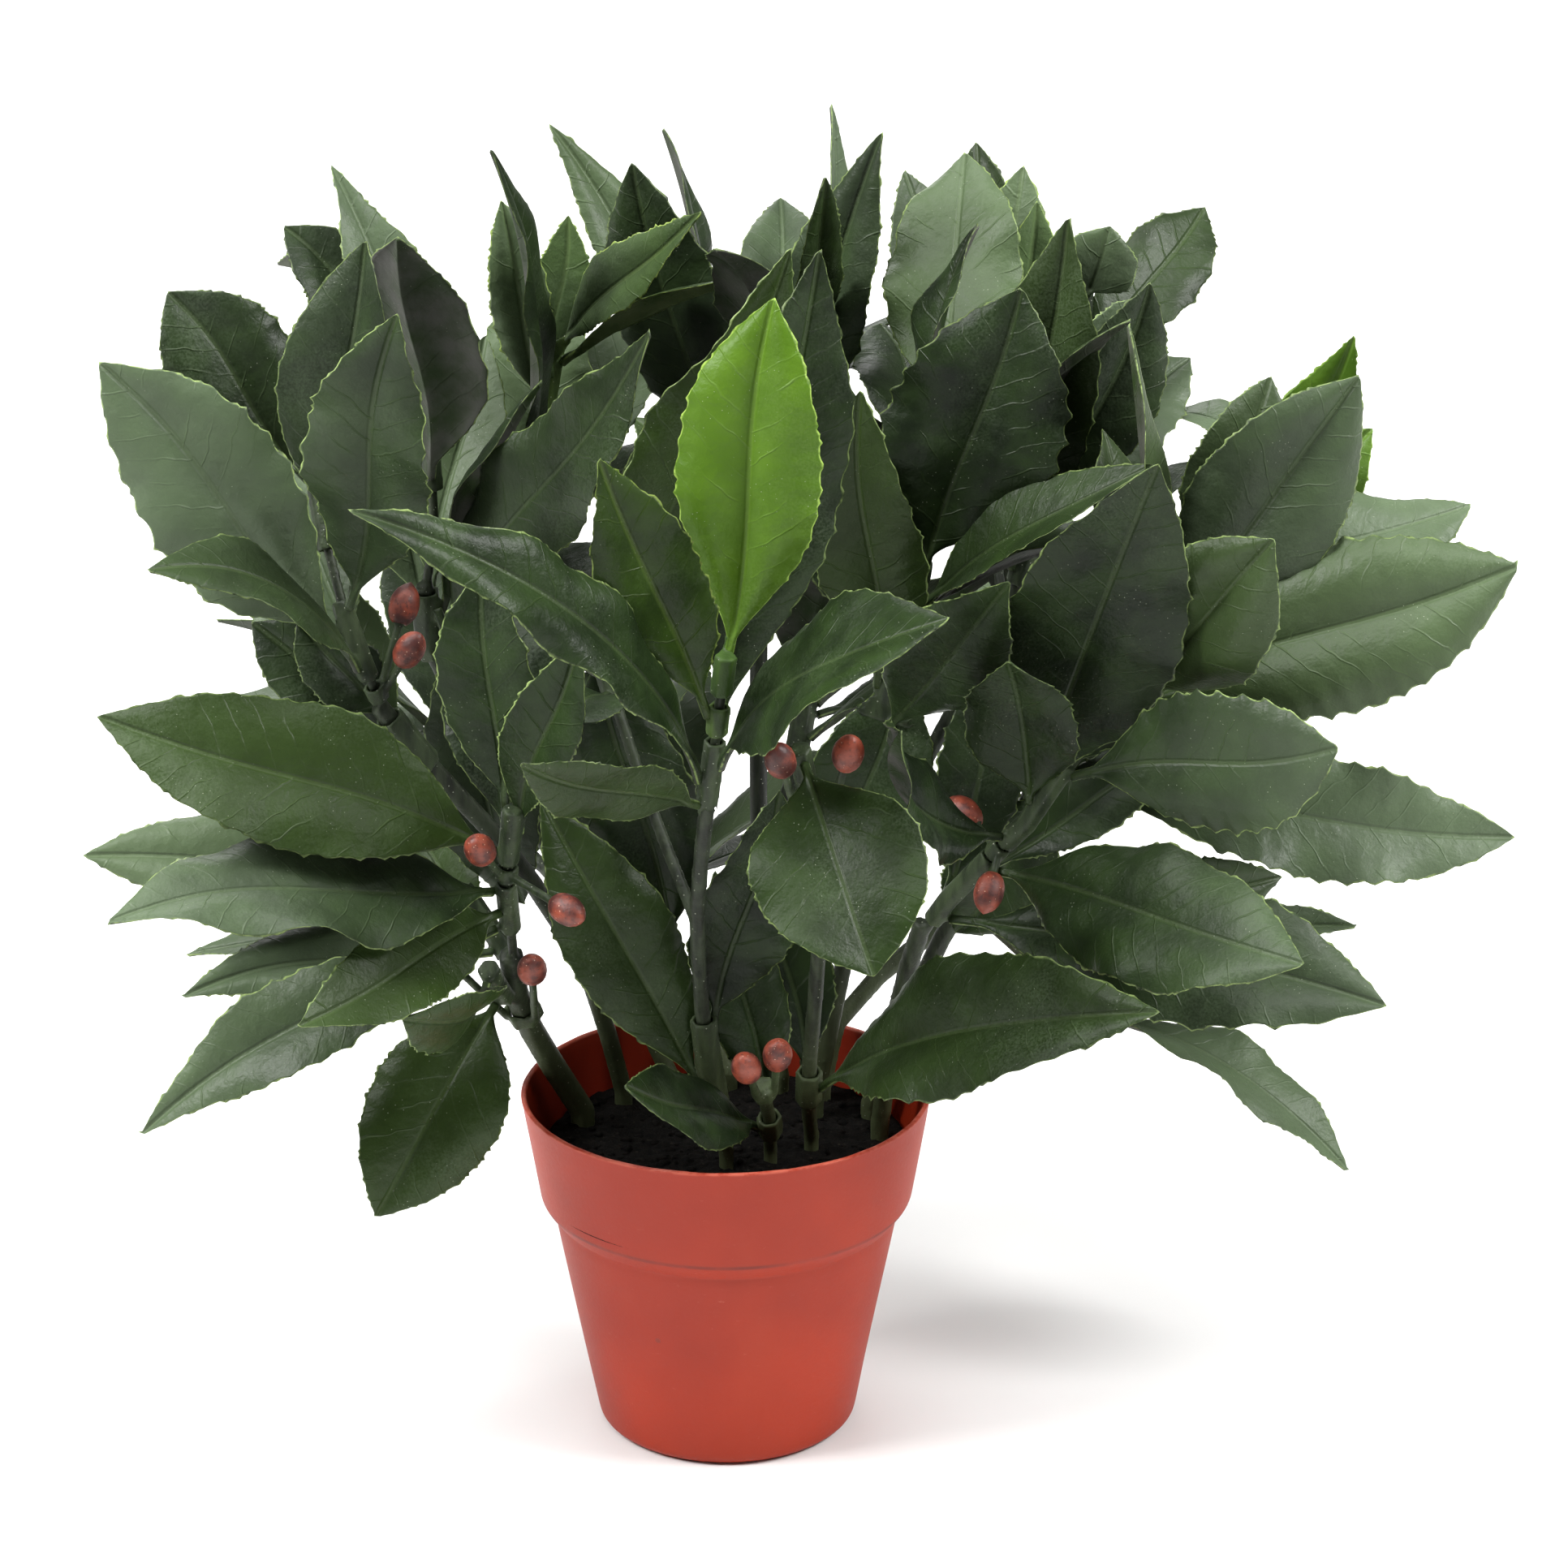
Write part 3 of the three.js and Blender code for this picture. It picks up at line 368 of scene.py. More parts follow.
def blade(leaf, chance):
    """Corner places, faces, lamina and finish values of one fine leaf."""
    fraction = np.linspace(FIRST_ROW, 1, ROWS + 1)[:-1]
    length = np.linalg.norm(leaf["curve"][1] + leaf["curve"][2])
    along = fraction * length
    habit = habit_of(chance, length)
    spine, side, up = middle_line(leaf, habit, fraction)
    half = half_breadths(leaf, habit, fraction, length)
    across = columns_of(half)
    sheet = top_surface(across, half, along, leaf, habit)
    top, bottom = two_faces(sheet, across, half, fraction)
    sideways = spine[:, None] + side[:, None] * ragged(across, half, fraction, habit, chance)[..., None]
    upper, lower = (sideways + up[:, None] * height[..., None] for height in (top, bottom))
    rings = np.concatenate([upper, lower[:, -2:0:-1]], axis=1)
    tip = leaf["curve"].sum(axis=0) + up[-1] * habit["droop"]
    places = np.concatenate([rings.reshape(-1, 3), tip[None]])
    columns, ring_size = across.shape[1], rings.shape[1]
    spread = np.concatenate([across, across[:, -2:0:-1]], axis=1)
    margin = (np.abs(spread) > 0.999).astype(float)
    under = np.tile(np.arange(ring_size) >= columns, (ROWS, 1)).astype(float)
    number = chance.random()
    lamina = np.stack([spread * half[:, None], np.tile(along[:, None], ring_size)], axis=-1)
    lamina = np.concatenate([lamina.reshape(-1, 2), [[0, length]]])
    lamina = np.column_stack([lamina, np.full(len(lamina), number)])
    finish = np.concatenate([np.stack([margin, under], axis=-1).reshape(-1, 2), [[1, 0]]])
    finish = np.column_stack([finish, np.zeros(len(finish))])
    return places, loft_faces(ROWS, ring_size, len(places) - 1), lamina, finish


sample_places, sample_faces, _, _ = blade(bright, random.Random("sample"))
print("corners in a blade", len(sample_places), "faces", len(sample_faces))

# %% [markdown]
# ## Sleeves and stems
# A twig is a bent tube, and the leaves grow on short sleeves that are pushed over it. The CAD tubes have
# six flat sides. A voxel remesh turns such a solid into an even skin, and a few rounds of smoothing make
# it round while it keeps its steps and forks. The leaf blades are cut off first, so that only the sleeve
# and the roots of the stalks are remeshed.

# %% Rounded copies of the CAD tubes
def rounded(skin, voxel, rounds):
    """Corner places and faces of the skin, remeshed evenly and smoothed."""
    mesh = bpy.data.meshes.new("rounding")
    skin.to_mesh(mesh)
    piece = bpy.data.objects.new("rounding", mesh)
    bpy.context.scene.collection.objects.link(piece)
    remesh = piece.modifiers.new("even", "REMESH")
    remesh.mode = "VOXEL"
    remesh.voxel_size = voxel
    smooth = piece.modifiers.new("soft", "SMOOTH")
    smooth.factor = 0.5
    smooth.iterations = rounds
    shown = piece.evaluated_get(bpy.context.evaluated_depsgraph_get())
    result = shown.to_mesh()
    places = np.array([corner.co[:] for corner in result.vertices])
    faces = [list(face.vertices) for face in result.polygons]
    shown.to_mesh_clear()
    bpy.data.objects.remove(piece)
    bpy.data.meshes.remove(mesh)
    return places, faces


def without(skin, corners):
    """The skin with these corners cut away and the openings closed."""
    bmesh.ops.delete(skin, geom=list(corners), context="VERTS")
    open_edges = [edge for edge in skin.edges if edge.is_boundary]
    bmesh.ops.holes_fill(skin, edges=open_edges, sides=0)
    return skin


print("corners of a rounded sprig", len(rounded(skin_of("berries_low"), 0.6 * MM, 4)[0]))

# %% [markdown]
# ## Putting arrays into objects
# One object stands for one CAD part. It can hold several lots of corners, such as the blades of a leaf
# set and its sleeve, each with its own material. Two values at each corner carry the place on the leaf
# to the materials: lamina holds the distance from the midrib, the distance from the stalk and the leaf's
# own number, and finish tells the margin and the underside from the rest.

# %% Objects that ride on the body and stand for a CAD part
def piece_from(name, lots, materials):
    """One object from lots of (places, faces, lamina, finish, material number)."""
    places, faces, numbers, lamina, finish = [], [], [], [], []
    for lot_places, lot_faces, lot_lamina, lot_finish, number in lots:
        start = len(places)
        places.extend(lot_places.tolist())
        faces.extend([[corner + start for corner in face] for face in lot_faces])
        numbers.extend([number] * len(lot_faces))
        blank = np.zeros((len(lot_places), 3))
        lamina.append(blank if lot_lamina is None else lot_lamina)
        finish.append(blank if lot_finish is None else lot_finish)
    mesh = bpy.data.meshes.new(name)
    mesh.from_pydata(places, [], faces)
    for label, values in (("lamina", lamina), ("finish", finish)):
        layer = mesh.attributes.new(label, "FLOAT_VECTOR", "POINT")
        layer.data.foreach_set("vector", np.concatenate(values).astype(np.float32).ravel())
    for material in materials:
        mesh.materials.append(material)
    mesh.polygons.foreach_set("material_index", numbers)
    mesh.polygons.foreach_set("use_smooth", [True] * len(faces))
    mesh.update()
    piece = bpy.data.objects.new(f"{name}_fine", mesh)
    bpy.context.scene.collection.objects.link(piece)
    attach(piece, "root")
    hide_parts(name)
    return piece


# %% [markdown]
# ## Writing materials
# A material is a small network of nodes. Two helpers keep it readable: a wrapped socket that takes part
# in ordinary sums, so that each sum adds its own Math node, and a paint that adds any other node from its
# type, its settings and what is plugged into it.

# %% Sums on sockets
class Signal:
    """A socket that Python's operators work on."""

    def __init__(self, paint, socket):
        self.paint = paint
        self.socket = socket

    def sum(self, operation, first, second):
        return self.paint.node("ShaderNodeMath", {"operation": operation}, {0: first, 1: second})

    def __add__(self, other):
        return self.sum("ADD", self, other)

    def __sub__(self, other):
        return self.sum("SUBTRACT", self, other)

    def __rsub__(self, other):
        return self.sum("SUBTRACT", other, self)

    def __mul__(self, other):
        return self.sum("MULTIPLY", self, other)

    def __truediv__(self, other):
        return self.sum("DIVIDE", self, other)

    def __rtruediv__(self, other):
        return self.sum("DIVIDE", other, self)

    def __abs__(self):
        return self.sum("ABSOLUTE", self, 0)

    __radd__ = __add__
    __rmul__ = __mul__


print("reflected forms", [name.strip("_") for name in vars(Signal) if name.startswith("__r")])

# %% Paint: a material with one method for every node
class Paint:
    """A material and its node tree."""

    def __init__(self, name):
        self.material = bpy.data.materials.new(name)
        self.material.use_nodes = True
        self.tree = self.material.node_tree
        self.shader = self.tree.nodes["Principled BSDF"]

    def node(self, kind, settings=None, inputs=None, out=0):
        """Adds a node, its settings first and then its sockets, and returns one of its outputs."""
        made = self.tree.nodes.new(kind)
        for key, value in (settings or {}).items():
            setattr(made, key, value)
        for key, value in (inputs or {}).items():
            self.plug(made.inputs[key], value)
        return Signal(self, made.outputs[out])

    def plug(self, socket, value):
        if isinstance(value, Signal):
            self.tree.links.new(value.socket, socket)
        else:
            socket.default_value = value

    def set(self, **sockets):
        """Plugs values or signals into the shader; an underscore in a name stands for a space."""
        for name, value in sockets.items():
            self.plug(self.shader.inputs[name.replace("_", " ")], value)

    def mix(self, share, first, second):
        """A blend of two colours."""
        return self.node("ShaderNodeMix", {"data_type": "RGBA"}, {0: share, 6: first, 7: second}, 2)

    def step(self, value, start, end):
        """0 before start and 1 after end, with a smooth rise."""
        limits = {"Value": value, "From Min": start, "From Max": end}
        return self.node("ShaderNodeMapRange", {"interpolation_type": "SMOOTHSTEP"}, limits)

    def place(self, stretch=(1, 1, 1)):
        """Where a point is, in metres in the object's own frame, stretched along its axes."""
        where = self.node("ShaderNodeTexCoord", out="Object")
        return self.node("ShaderNodeVectorMath", {"operation": "MULTIPLY"}, {0: where, 1: stretch})

    def height(self):
        """How far a point is above the floor."""
        return self.node("ShaderNodeSeparateXYZ", inputs={0: self.place()}, out=2)

    def from_axis(self, shift):
        """How far a point is from an upright axis that stands shift away from the middle."""
        level = self.node("ShaderNodeVectorMath", {"operation": "ADD"}, {0: self.place((1, 1, 0)), 1: shift})
        return self.node("ShaderNodeVectorMath", {"operation": "LENGTH"}, {0: level}, out=1)

    def cloud(self, scale, detail=3.0, stretch=(1, 1, 1), roughness=0.5):
        """Soft noise from 0 to 1; scale is in lumps per metre."""
        values = {"Vector": self.place(stretch), "Scale": scale, "Detail": detail, "Roughness": roughness}
        return self.node("ShaderNodeTexNoise", inputs=values)

    def specks(self, scale, size):
        """Small round dots, 1 inside and 0 outside."""
        cells = self.node("ShaderNodeTexVoronoi", inputs={"Vector": self.place(), "Scale": scale})
        return 1 - self.step(cells, size * 0.6, size)

    def relief(self, height, distance, strength=1.0):
        """Plugs a height into the shader's normal as a bump."""
        bump = {"Height": height, "Distance": distance, "Strength": strength}
        self.set(Normal=self.node("ShaderNodeBump", inputs=bump))

    def corner_values(self, label):
        """The three parts of a value that the mesh's corners carry."""
        vector = self.node("ShaderNodeAttribute", {"attribute_name": label}, out="Vector")
        return [self.node("ShaderNodeSeparateXYZ", inputs={0: vector}, out=axis) for axis in range(3)]

    def gloss(self, level):
        """How strongly the surface mirrors; 0.5 is a usual smooth plastic, and matt mouldings have less."""
        self.shader.inputs["Specular IOR Level"].default_value = level


def linear(red, green, blue):
    """A shader colour from the 0 to 255 numbers of a paint chart."""
    parts = [value / 255 for value in (red, green, blue)]
    return (*[part / 12.92 if part < 0.04045 else ((part + 0.055) / 1.055) ** 2.4 for part in parts], 1)


print("mid green", [round(part, 3) for part in linear(62, 84, 52)])

# %% [markdown]
# ## Leaf plastic
# The upper face is a matt dark green, mottled and a little different on each leaf. The veins and the
# midrib are slightly lighter, the underside is greyer, and the margin has a broken pale line where the
# mould flashed. The leaves that stand out from the crown get a painted pale sheen where the light falls
# on them, and fine white dust lies on all of them. All of it comes from the place on the leaf, which the
# corners carry, and from noise.

# %% Veins and painted outer sheen of a leaf
SHEEN_AXIS_SHIFT = (-0.015, 0.075, 0)  # added to a place: the painted sheen starts from an axis in front of the middle
OUTER_SHEEN_REACH = (0.08, 0.2)  # no painted sheen nearer to that axis than the first, full sheen past the second
VEIN_HALF = 0.06  # half of a vein's breadth, as a share of the step between veins
MIDRIB = (0.3 * MM, 1.1 * MM)
HUE_SPREAD = 7.3  # turns a leaf's number into a second one that is unlike the first


def wandering_veins(paint, offset, along, mottle):
    """1 on a pinnate vein: straight lines that slant forward, bent by noise and worn away in places."""
    stagger = paint.step(offset, -0.1 * MM, 0.1 * MM) * VEIN_STAGGER
    place = (along - abs(offset) * VEIN_SLANT) / VEIN_STEP + stagger + paint.cloud(90, 2.0) * 0.7
    saw = paint.node("ShaderNodeMath", {"operation": "PINGPONG"}, {0: place, 1: 0.5})
    return (1 - paint.step(saw, 0.0, VEIN_HALF)) * paint.step(mottle, 0.4, 0.62)


def outer_sheen(paint, number, dust_and_sheen_noise):
    """How much painted pale sheen a leaf gets: more on the outside of the crown, where the light falls, and
    on some leaves than on others.
    """
    outer = paint.step(paint.from_axis(SHEEN_AXIS_SHIFT), *OUTER_SHEEN_REACH)
    return outer * (0.1 + paint.step(number, 0.2, 0.8) * 0.9) * (0.5 + dust_and_sheen_noise)


print("fading from", [round(reach / MM) for reach in OUTER_SHEEN_REACH], "mm")

# %% Leaf paint
# pale dust, and also the colour of the painted sheen on the outer leaves
DUST_AND_SHEEN = linear(126, 144, 114)
DUST_SPECK = linear(170, 178, 156)


def leaf_paint(name, deep, light, young, rib, under, edge, dust_and_sheen):
    paint = Paint(name)
    offset, along, number = paint.corner_values("lamina")
    margin, underside, _ = paint.corner_values("finish")
    # one noise varies both the real dust veil and the painted sheen
    mottle, dust_and_sheen_noise = paint.cloud(70, 4.0), paint.cloud(26, 5.0, roughness=0.65)
    grain, worn = paint.cloud(1500, 2.0), paint.cloud(420, 2.0)
    vein = wandering_veins(paint, offset, along, mottle)
    midrib = 1 - paint.step(abs(offset), *MIDRIB)
    base = paint.mix(paint.step(mottle, 0.3, 0.75) * 0.7 + paint.step(number, 0.35, 1.0) * 0.3, deep, light)
    hue = paint.node("ShaderNodeMath", {"operation": "FRACT"}, {0: number * HUE_SPREAD})
    base = paint.mix(paint.step(hue, 0.5, 0.9) * 0.5, base, young)
    base = paint.mix((vein * 0.09 + midrib * 0.16) * (1 - underside * 0.4), base, rib)
    # painted sheen: leaves on the outside of the crown, where the light falls, are mixed towards the pale
    # colour
    base = paint.mix(outer_sheen(paint, number, dust_and_sheen_noise) * 0.34 * (1 - underside), base, dust_and_sheen)
    veil = paint.step(dust_and_sheen_noise, 0.42, 0.75) * paint.step(grain, 0.3, 0.7) * 0.12
    base = paint.mix(veil, base, dust_and_sheen)
    back = paint.mix(paint.step(mottle, 0.35, 0.7), under, light)
    base = paint.mix(underside * 0.75, base, back)
    broken = paint.step(worn, 0.3, 0.6) * (0.4 + paint.step(number, 0.1, 1) * 0.5)
    base = paint.mix(paint.step(margin, 0.2, 0.8) * broken, base, edge)
    dust = paint.specks(640, 0.1) * paint.step(paint.cloud(55, 2.0), 0.45, 0.65)
    base = paint.mix(dust * 0.55, base, DUST_SPECK)
    paint.set(Base_Color=base, Roughness=0.34 + grain * 0.14 + veil * 0.8 + underside * 0.15)
    pillows = paint.cloud(170, 3.0) * 0.8 + paint.cloud(480, 4.0) * 0.35
    groove = midrib * (1 - underside) * 0.5
    paint.relief(pillows + grain * 0.12 - groove + vein * 0.3, 0.8 * MM, 0.7)
    paint.gloss(0.18)
    return paint.material


print("dust colour", [round(part, 3) for part in DUST_AND_SHEEN])

# %% Leaf materials
leaf_materials = {
    "leaf_dark": leaf_paint(
        "leaf_dark",
        deep=linear(12, 21, 8),
        light=linear(36, 52, 22),
        young=linear(46, 64, 20),
        rib=linear(84, 100, 62),
        under=linear(82, 82, 77),
        edge=linear(140, 160, 98),
        dust_and_sheen=DUST_AND_SHEEN,
    ),
    "leaf_olive": leaf_paint(
        "leaf_olive",
        deep=linear(24, 38, 8),
        light=linear(46, 66, 20),
        young=linear(60, 88, 22),
        rib=linear(104, 124, 62),
        under=linear(92, 104, 66),
        edge=linear(150, 172, 86),
        dust_and_sheen=DUST_AND_SHEEN,
    ),
    "leaf_bright": leaf_paint(
        "leaf_bright",
        deep=linear(54, 84, 12),
        light=linear(76, 108, 26),
        young=linear(84, 112, 24),
        rib=linear(124, 156, 70),
        under=linear(104, 130, 60),
        edge=linear(166, 196, 96),
        dust_and_sheen=linear(140, 164, 104),
    ),
}
print("leaf materials", sorted(leaf_materials))

# %% [markdown]
# ## Stem plastic
# Stems and sleeves are the same plastic, a little darker and duller, with fine lengthwise ridges from
# the mould. Near the soil the green has rubbed paler.

# %% Stem materials
RUBBED = linear(98, 108, 72)
RUBBED_HEIGHTS = (85 * MM, 150 * MM)  # rubbed below the first, whole above the second
STEM_DUST = linear(180, 186, 165)


def stem_paint(name, deep, light):
    paint = Paint(name)
    streaks = paint.cloud(300, 3.0, stretch=(1, 1, 0.18))
    grain = paint.cloud(1400, 2.0)
    base = paint.mix(paint.step(streaks, 0.3, 0.7), deep, light)
    base = paint.mix((1 - paint.step(paint.height(), *RUBBED_HEIGHTS)) * 0.5, base, RUBBED)
    base = paint.mix(paint.specks(480, 0.12) * 0.5, base, STEM_DUST)
    paint.set(Base_Color=base, Roughness=0.42 + streaks * 0.2)
    paint.relief(streaks + grain * 0.3, 0.5 * MM, 0.8)
    paint.gloss(0.24)
    return paint.material


stem_materials = {
    "stem": stem_paint("stem", linear(26, 31, 22), linear(50, 58, 42)),
    "leaf_dark": stem_paint("sleeve_dark", linear(30, 39, 24), linear(56, 68, 44)),
    "leaf_olive": stem_paint("sleeve_olive", linear(40, 56, 24), linear(70, 90, 42)),
    "leaf_bright": stem_paint("sleeve_bright", linear(40, 60, 22), linear(58, 82, 32)),
}
print("stem materials", sorted(stem_materials))

# %% Leaf sets: fine blades on a rounded sleeve
SLEEVE_VOXEL = 0.65 * MM
slots = {row["node"]: row["material_slot"] for row in frame["record"]["subparts"]}
leaf_count = 0
for name in leaf_sets:
    skin = skin_of(name)
    leaves = leaves_in(skin)
    lots = []
    for number, leaf in enumerate(leaves):
        chance = random.Random(f"{name} {number}")
        lots.append((*blade(leaf, chance), 0))
    cut = {corner for leaf in leaves for corner in leaf["corners"]}
    sleeve = rounded(without(skin, cut), SLEEVE_VOXEL, 5)
    lots.append((*sleeve, None, None, 1))
    slot = slots[name]
    piece_from(name, lots, [leaf_materials[slot], stem_materials[slot]])
    leaf_count += len(leaves)
print("blades", leaf_count)

# %% Stems
STEM_VOXEL = 0.85 * MM
stem_names = sorted(name for name in nodes if name.startswith("stem_"))
for name in stem_names:
    lot = (*rounded(skin_of(name), STEM_VOXEL, 7), None, None, 0)
    piece_from(name, [lot], [stem_materials["stem"]])
print("stems", len(stem_names))

# %% [markdown]
# ## Berries
# A berry is an egg with a small nib, red-brown with orange and dark patches, on a short stalk that grows
# from a collar round the twig. The collar and stalks are rounded like the stems, and each berry is turned
# anew round its own axis, which its pointed CAD end gives.

# %% Berry material
def berry_paint():
    paint = Paint("berry")
    patches = paint.cloud(190, 4.0)
    fine = paint.cloud(900, 3.0)
    base = paint.mix(paint.step(patches, 0.35, 0.65), linear(64, 24, 18), linear(132, 58, 38))
    base = paint.mix(paint.step(fine, 0.55, 0.7) * 0.6, base, linear(44, 20, 15))
    base = paint.mix(paint.specks(700, 0.14) * 0.6, base, linear(212, 176, 150))
    paint.set(Base_Color=base, Roughness=0.4 + fine * 0.25)
    paint.relief(fine * 0.6 + patches, 0.4 * MM, 0.6)
    return paint.material


berry_material = berry_paint()
print("berry nodes", len(berry_material.node_tree.nodes))

# %% Berry shape
CAD_BERRY_SIDES = 8
BERRY_OUTLINE = [(0, 0), (0.05, 0.42), (0.18, 0.8), (0.42, 1), (0.66, 0.92), (0.84, 0.62), (0.93, 0.32)]
BERRY_OUTLINE += [(1, 0)]
BERRY_ROWS, BERRY_SIDES = 15, 20
BERRY_LENGTHENED = 1.12  # it reaches a little past the last CAD ring, into the stalk
BERRY_SLENDERNESS = 2.6  # least length over radius
BERRY_LUMPS = 0.04


def berry_at(apex, rings):
    """A fine berry on the axis of a CAD berry."""
    middles = [sum((corner.co for corner in ring), Vector()) / CAD_BERRY_SIDES for ring in rings]
    axis = (apex.co - middles[-1]).normalized()
    radius = max((corner.co - middle).length for ring, middle in zip(rings, middles) for corner in ring)
    length = max((apex.co - middles[-1]).length * BERRY_LENGTHENED, radius * BERRY_SLENDERNESS)
    across = axis.orthogonal().normalized()
    other = axis.cross(across)
    places = []
    for row in range(1, BERRY_ROWS):
        share = row / BERRY_ROWS
        reach = radius * float(smooth_through(BERRY_OUTLINE, np.array([share]))[0])
        for side in range(BERRY_SIDES):
            angle = 2 * math.pi * side / BERRY_SIDES
            here = Vector((math.cos(angle), math.sin(angle), share * 2)) + apex.co * 300
            lump = 1 + BERRY_LUMPS * noise.noise(here)
            ray = across * math.cos(angle) + other * math.sin(angle)
            places.append(apex.co - axis * length * (1 - share) + ray * reach * lump)
    places.append(apex.co)
    return np.array(places), loft_faces(BERRY_ROWS - 1, BERRY_SIDES, len(places) - 1)


print("berry points", (BERRY_ROWS - 1) * BERRY_SIDES + 1)

# %% Berry sprigs
SPRIG_VOXEL = 0.5 * MM
berry_count = 0
for name in sorted(name for name in nodes if name.startswith("berries_")):
    skin = skin_of(name)
    found = []
    for apex in skin.verts:
        rings = rings_from(apex, CAD_BERRY_SIDES) if len(apex.link_edges) == CAD_BERRY_SIDES else []
        if len(rings) > 2:
            found.append((apex, rings))
    lots = [(*berry_at(apex, rings), None, None, 0) for apex, rings in found]
    cut = {apex for apex, _ in found}
    cut |= {corner for _, rings in found for ring in rings[:-1] for corner in ring}
    lots.append((*rounded(without(skin, cut), SPRIG_VOXEL, 4), None, None, 1))
    piece_from(name, lots, [berry_material, stem_materials["leaf_dark"]])
    berry_count += len(found)
print("berries", berry_count)

# %% [markdown]
# ## The pot
# The pot is a thin injection-moulded cup: a plain rounded foot, a tapered body, a shoulder and a collar
# with a fine lip. The CAD pot gives its meridian, the outline in one upright plane. It is rounded at each
# corner, dented a little, and turned with many more sides. A lathe would leave it perfectly round, and a
# moulding this thin never is.

# %% The pot's meridian
SAME_TURN = 0.001  # radians


def meridian_of(name):
    """The outline of a turned CAD part, as (radius, height) from the axis round to the axis."""
    skin = skin_of(name)
    start = min(skin.verts, key=lambda corner: (math.hypot(corner.co.x, corner.co.y) > WELD, corner.co.z))
    path, seen = [start], {start}
    angle = None
    while True:
        options = []
        for corner in neighbours([path[-1]]) - seen:
            radius = math.hypot(corner.co.x, corner.co.y)
            turn = math.atan2(corner.co.y, corner.co.x)
            if radius < WELD or angle is None or abs(turn - angle) < SAME_TURN:
                options.append(corner)
        if not options:
            break
        chosen = min(options, key=lambda corner: (corner.co.x, corner.co.y)) if angle is None else options[0]
        if angle is None:
            angle = math.atan2(chosen.co.y, chosen.co.x)
        path.append(chosen)
        seen.add(chosen)
    return [(math.hypot(corner.co.x, corner.co.y), corner.co.z) for corner in path]


pot_outline = meridian_of("pot")
print("pot outline in mm", [(round(r / MM, 1), round(z / MM, 1)) for r, z in pot_outline])

# %% Turned shapes
def softened(outline, radius, steps=4):
    """The outline with every corner rounded."""
    points = [np.array(outline[0])]
    for before, corner, after in zip(outline, outline[1:], outline[2:]):
        before, corner, after = np.array(before), np.array(corner), np.array(after)
        to_before, to_after = before - corner, after - corner
        reach = min(radius, 0.45 * np.linalg.norm(to_before), 0.45 * np.linalg.norm(to_after))
        first = corner + to_before / np.linalg.norm(to_before) * reach
        last = corner + to_after / np.linalg.norm(to_after) * reach
        for step in range(steps + 1):
            u = step / steps
            points.append((1 - u) ** 2 * first + 2 * u * (1 - u) * corner + u**2 * last)
    points.append(np.array(outline[-1]))
    return points


def divided(points, longest):
    """The outline with no stretch longer than this."""
    result = [points[0]]
    for start, end in zip(points, points[1:]):
        pieces = max(1, math.ceil(np.linalg.norm(end - start) / longest))
        result.extend(start + (end - start) * (step + 1) / pieces for step in range(pieces))
    return result


CORNER_RADIUS = 1.4 * MM
LONGEST_STRETCH = 2.5 * MM
fine_outline = divided(softened(pot_outline, CORNER_RADIUS), LONGEST_STRETCH)
print("pot outline points", len(fine_outline))

# %% The turned pot
POT_SIDES = 160
_, pot_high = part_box("pot")
POT_TOP = pot_high.z
RIM_RADIUS = pot_high.x
FOOT_RADIUS = RIM_RADIUS * 0.62  # a little inside the outer wall at the floor
WALL_FLARE = RIM_RADIUS * 0.33  # and how far that line leans outwards up to the rim
LIP_DROP, LIP_GROOVE, LIP_WIDTH = 2.6 * MM, 0.25 * MM, 0.5 * MM
CREASE_DROP, CREASE_DEPTH, CREASE_WIDTH = 0.4 * MM, 0.4 * MM, 0.9 * MM
SAG = 0.35 * MM
RIM_BAND_HEIGHT, RIM_WAVE, RIM_SINK = 1.5 * MM, 0.22 * MM, 0.25 * MM
shoulder_foot = min(z for _, z in pot_outline if z > POT_TOP / 2)


def pot_corner(radius, height, angle):
    """A corner of the pot, with its lip, its crease and the small errors of a thin moulding."""
    if radius < WELD:
        return (0, 0, height)
    on_outside = radius > FOOT_RADIUS + (height / POT_TOP) * WALL_FLARE
    if on_outside:
        radius -= LIP_GROOVE * bell(POT_TOP - height - LIP_DROP, LIP_WIDTH)
        radius -= CREASE_DEPTH * bell(height - shoulder_foot + CREASE_DROP, CREASE_WIDTH)
    ray = Vector((math.cos(angle), math.sin(angle), 0))
    sag = noise.noise(ray * 1.3 + Vector((0, 0, height * 18)))
    radius += SAG * sag * min(1, height / (20 * MM))
    if height > POT_TOP - RIM_BAND_HEIGHT:
        height += RIM_WAVE * noise.noise(ray * 7) - RIM_SINK
    return (radius * ray.x, radius * ray.y, height)


pot_places = []
for radius, height in fine_outline[1:-1]:
    pot_places.extend(pot_corner(radius, height, 2 * math.pi * side / POT_SIDES) for side in range(POT_SIDES))
pot_places.append((0, 0, fine_outline[-1][1]))
pot_faces = loft_faces(len(fine_outline) - 2, POT_SIDES, len(pot_places) - 1)
print("pot corners", len(pot_places))

# %% [markdown]
# ## Pot plastic
# The terracotta plastic is matt, with broad soft changes of tone, a few pale scuffs and some small dark
# marks. A painted shade line darkens the crease at the shoulder's upper edge, and a painted highlight
# lightens the lip.

# %% Pot material
CREASE_SHADE_HEIGHT = 71.9 * MM
CREASE_SHADE_LINE = (0.2 * MM, 1.1 * MM)  # painted shade: dark up to the first, none past the second
LIP_HIGHLIGHT_HEIGHTS = (102.8 * MM, 103.6 * MM)


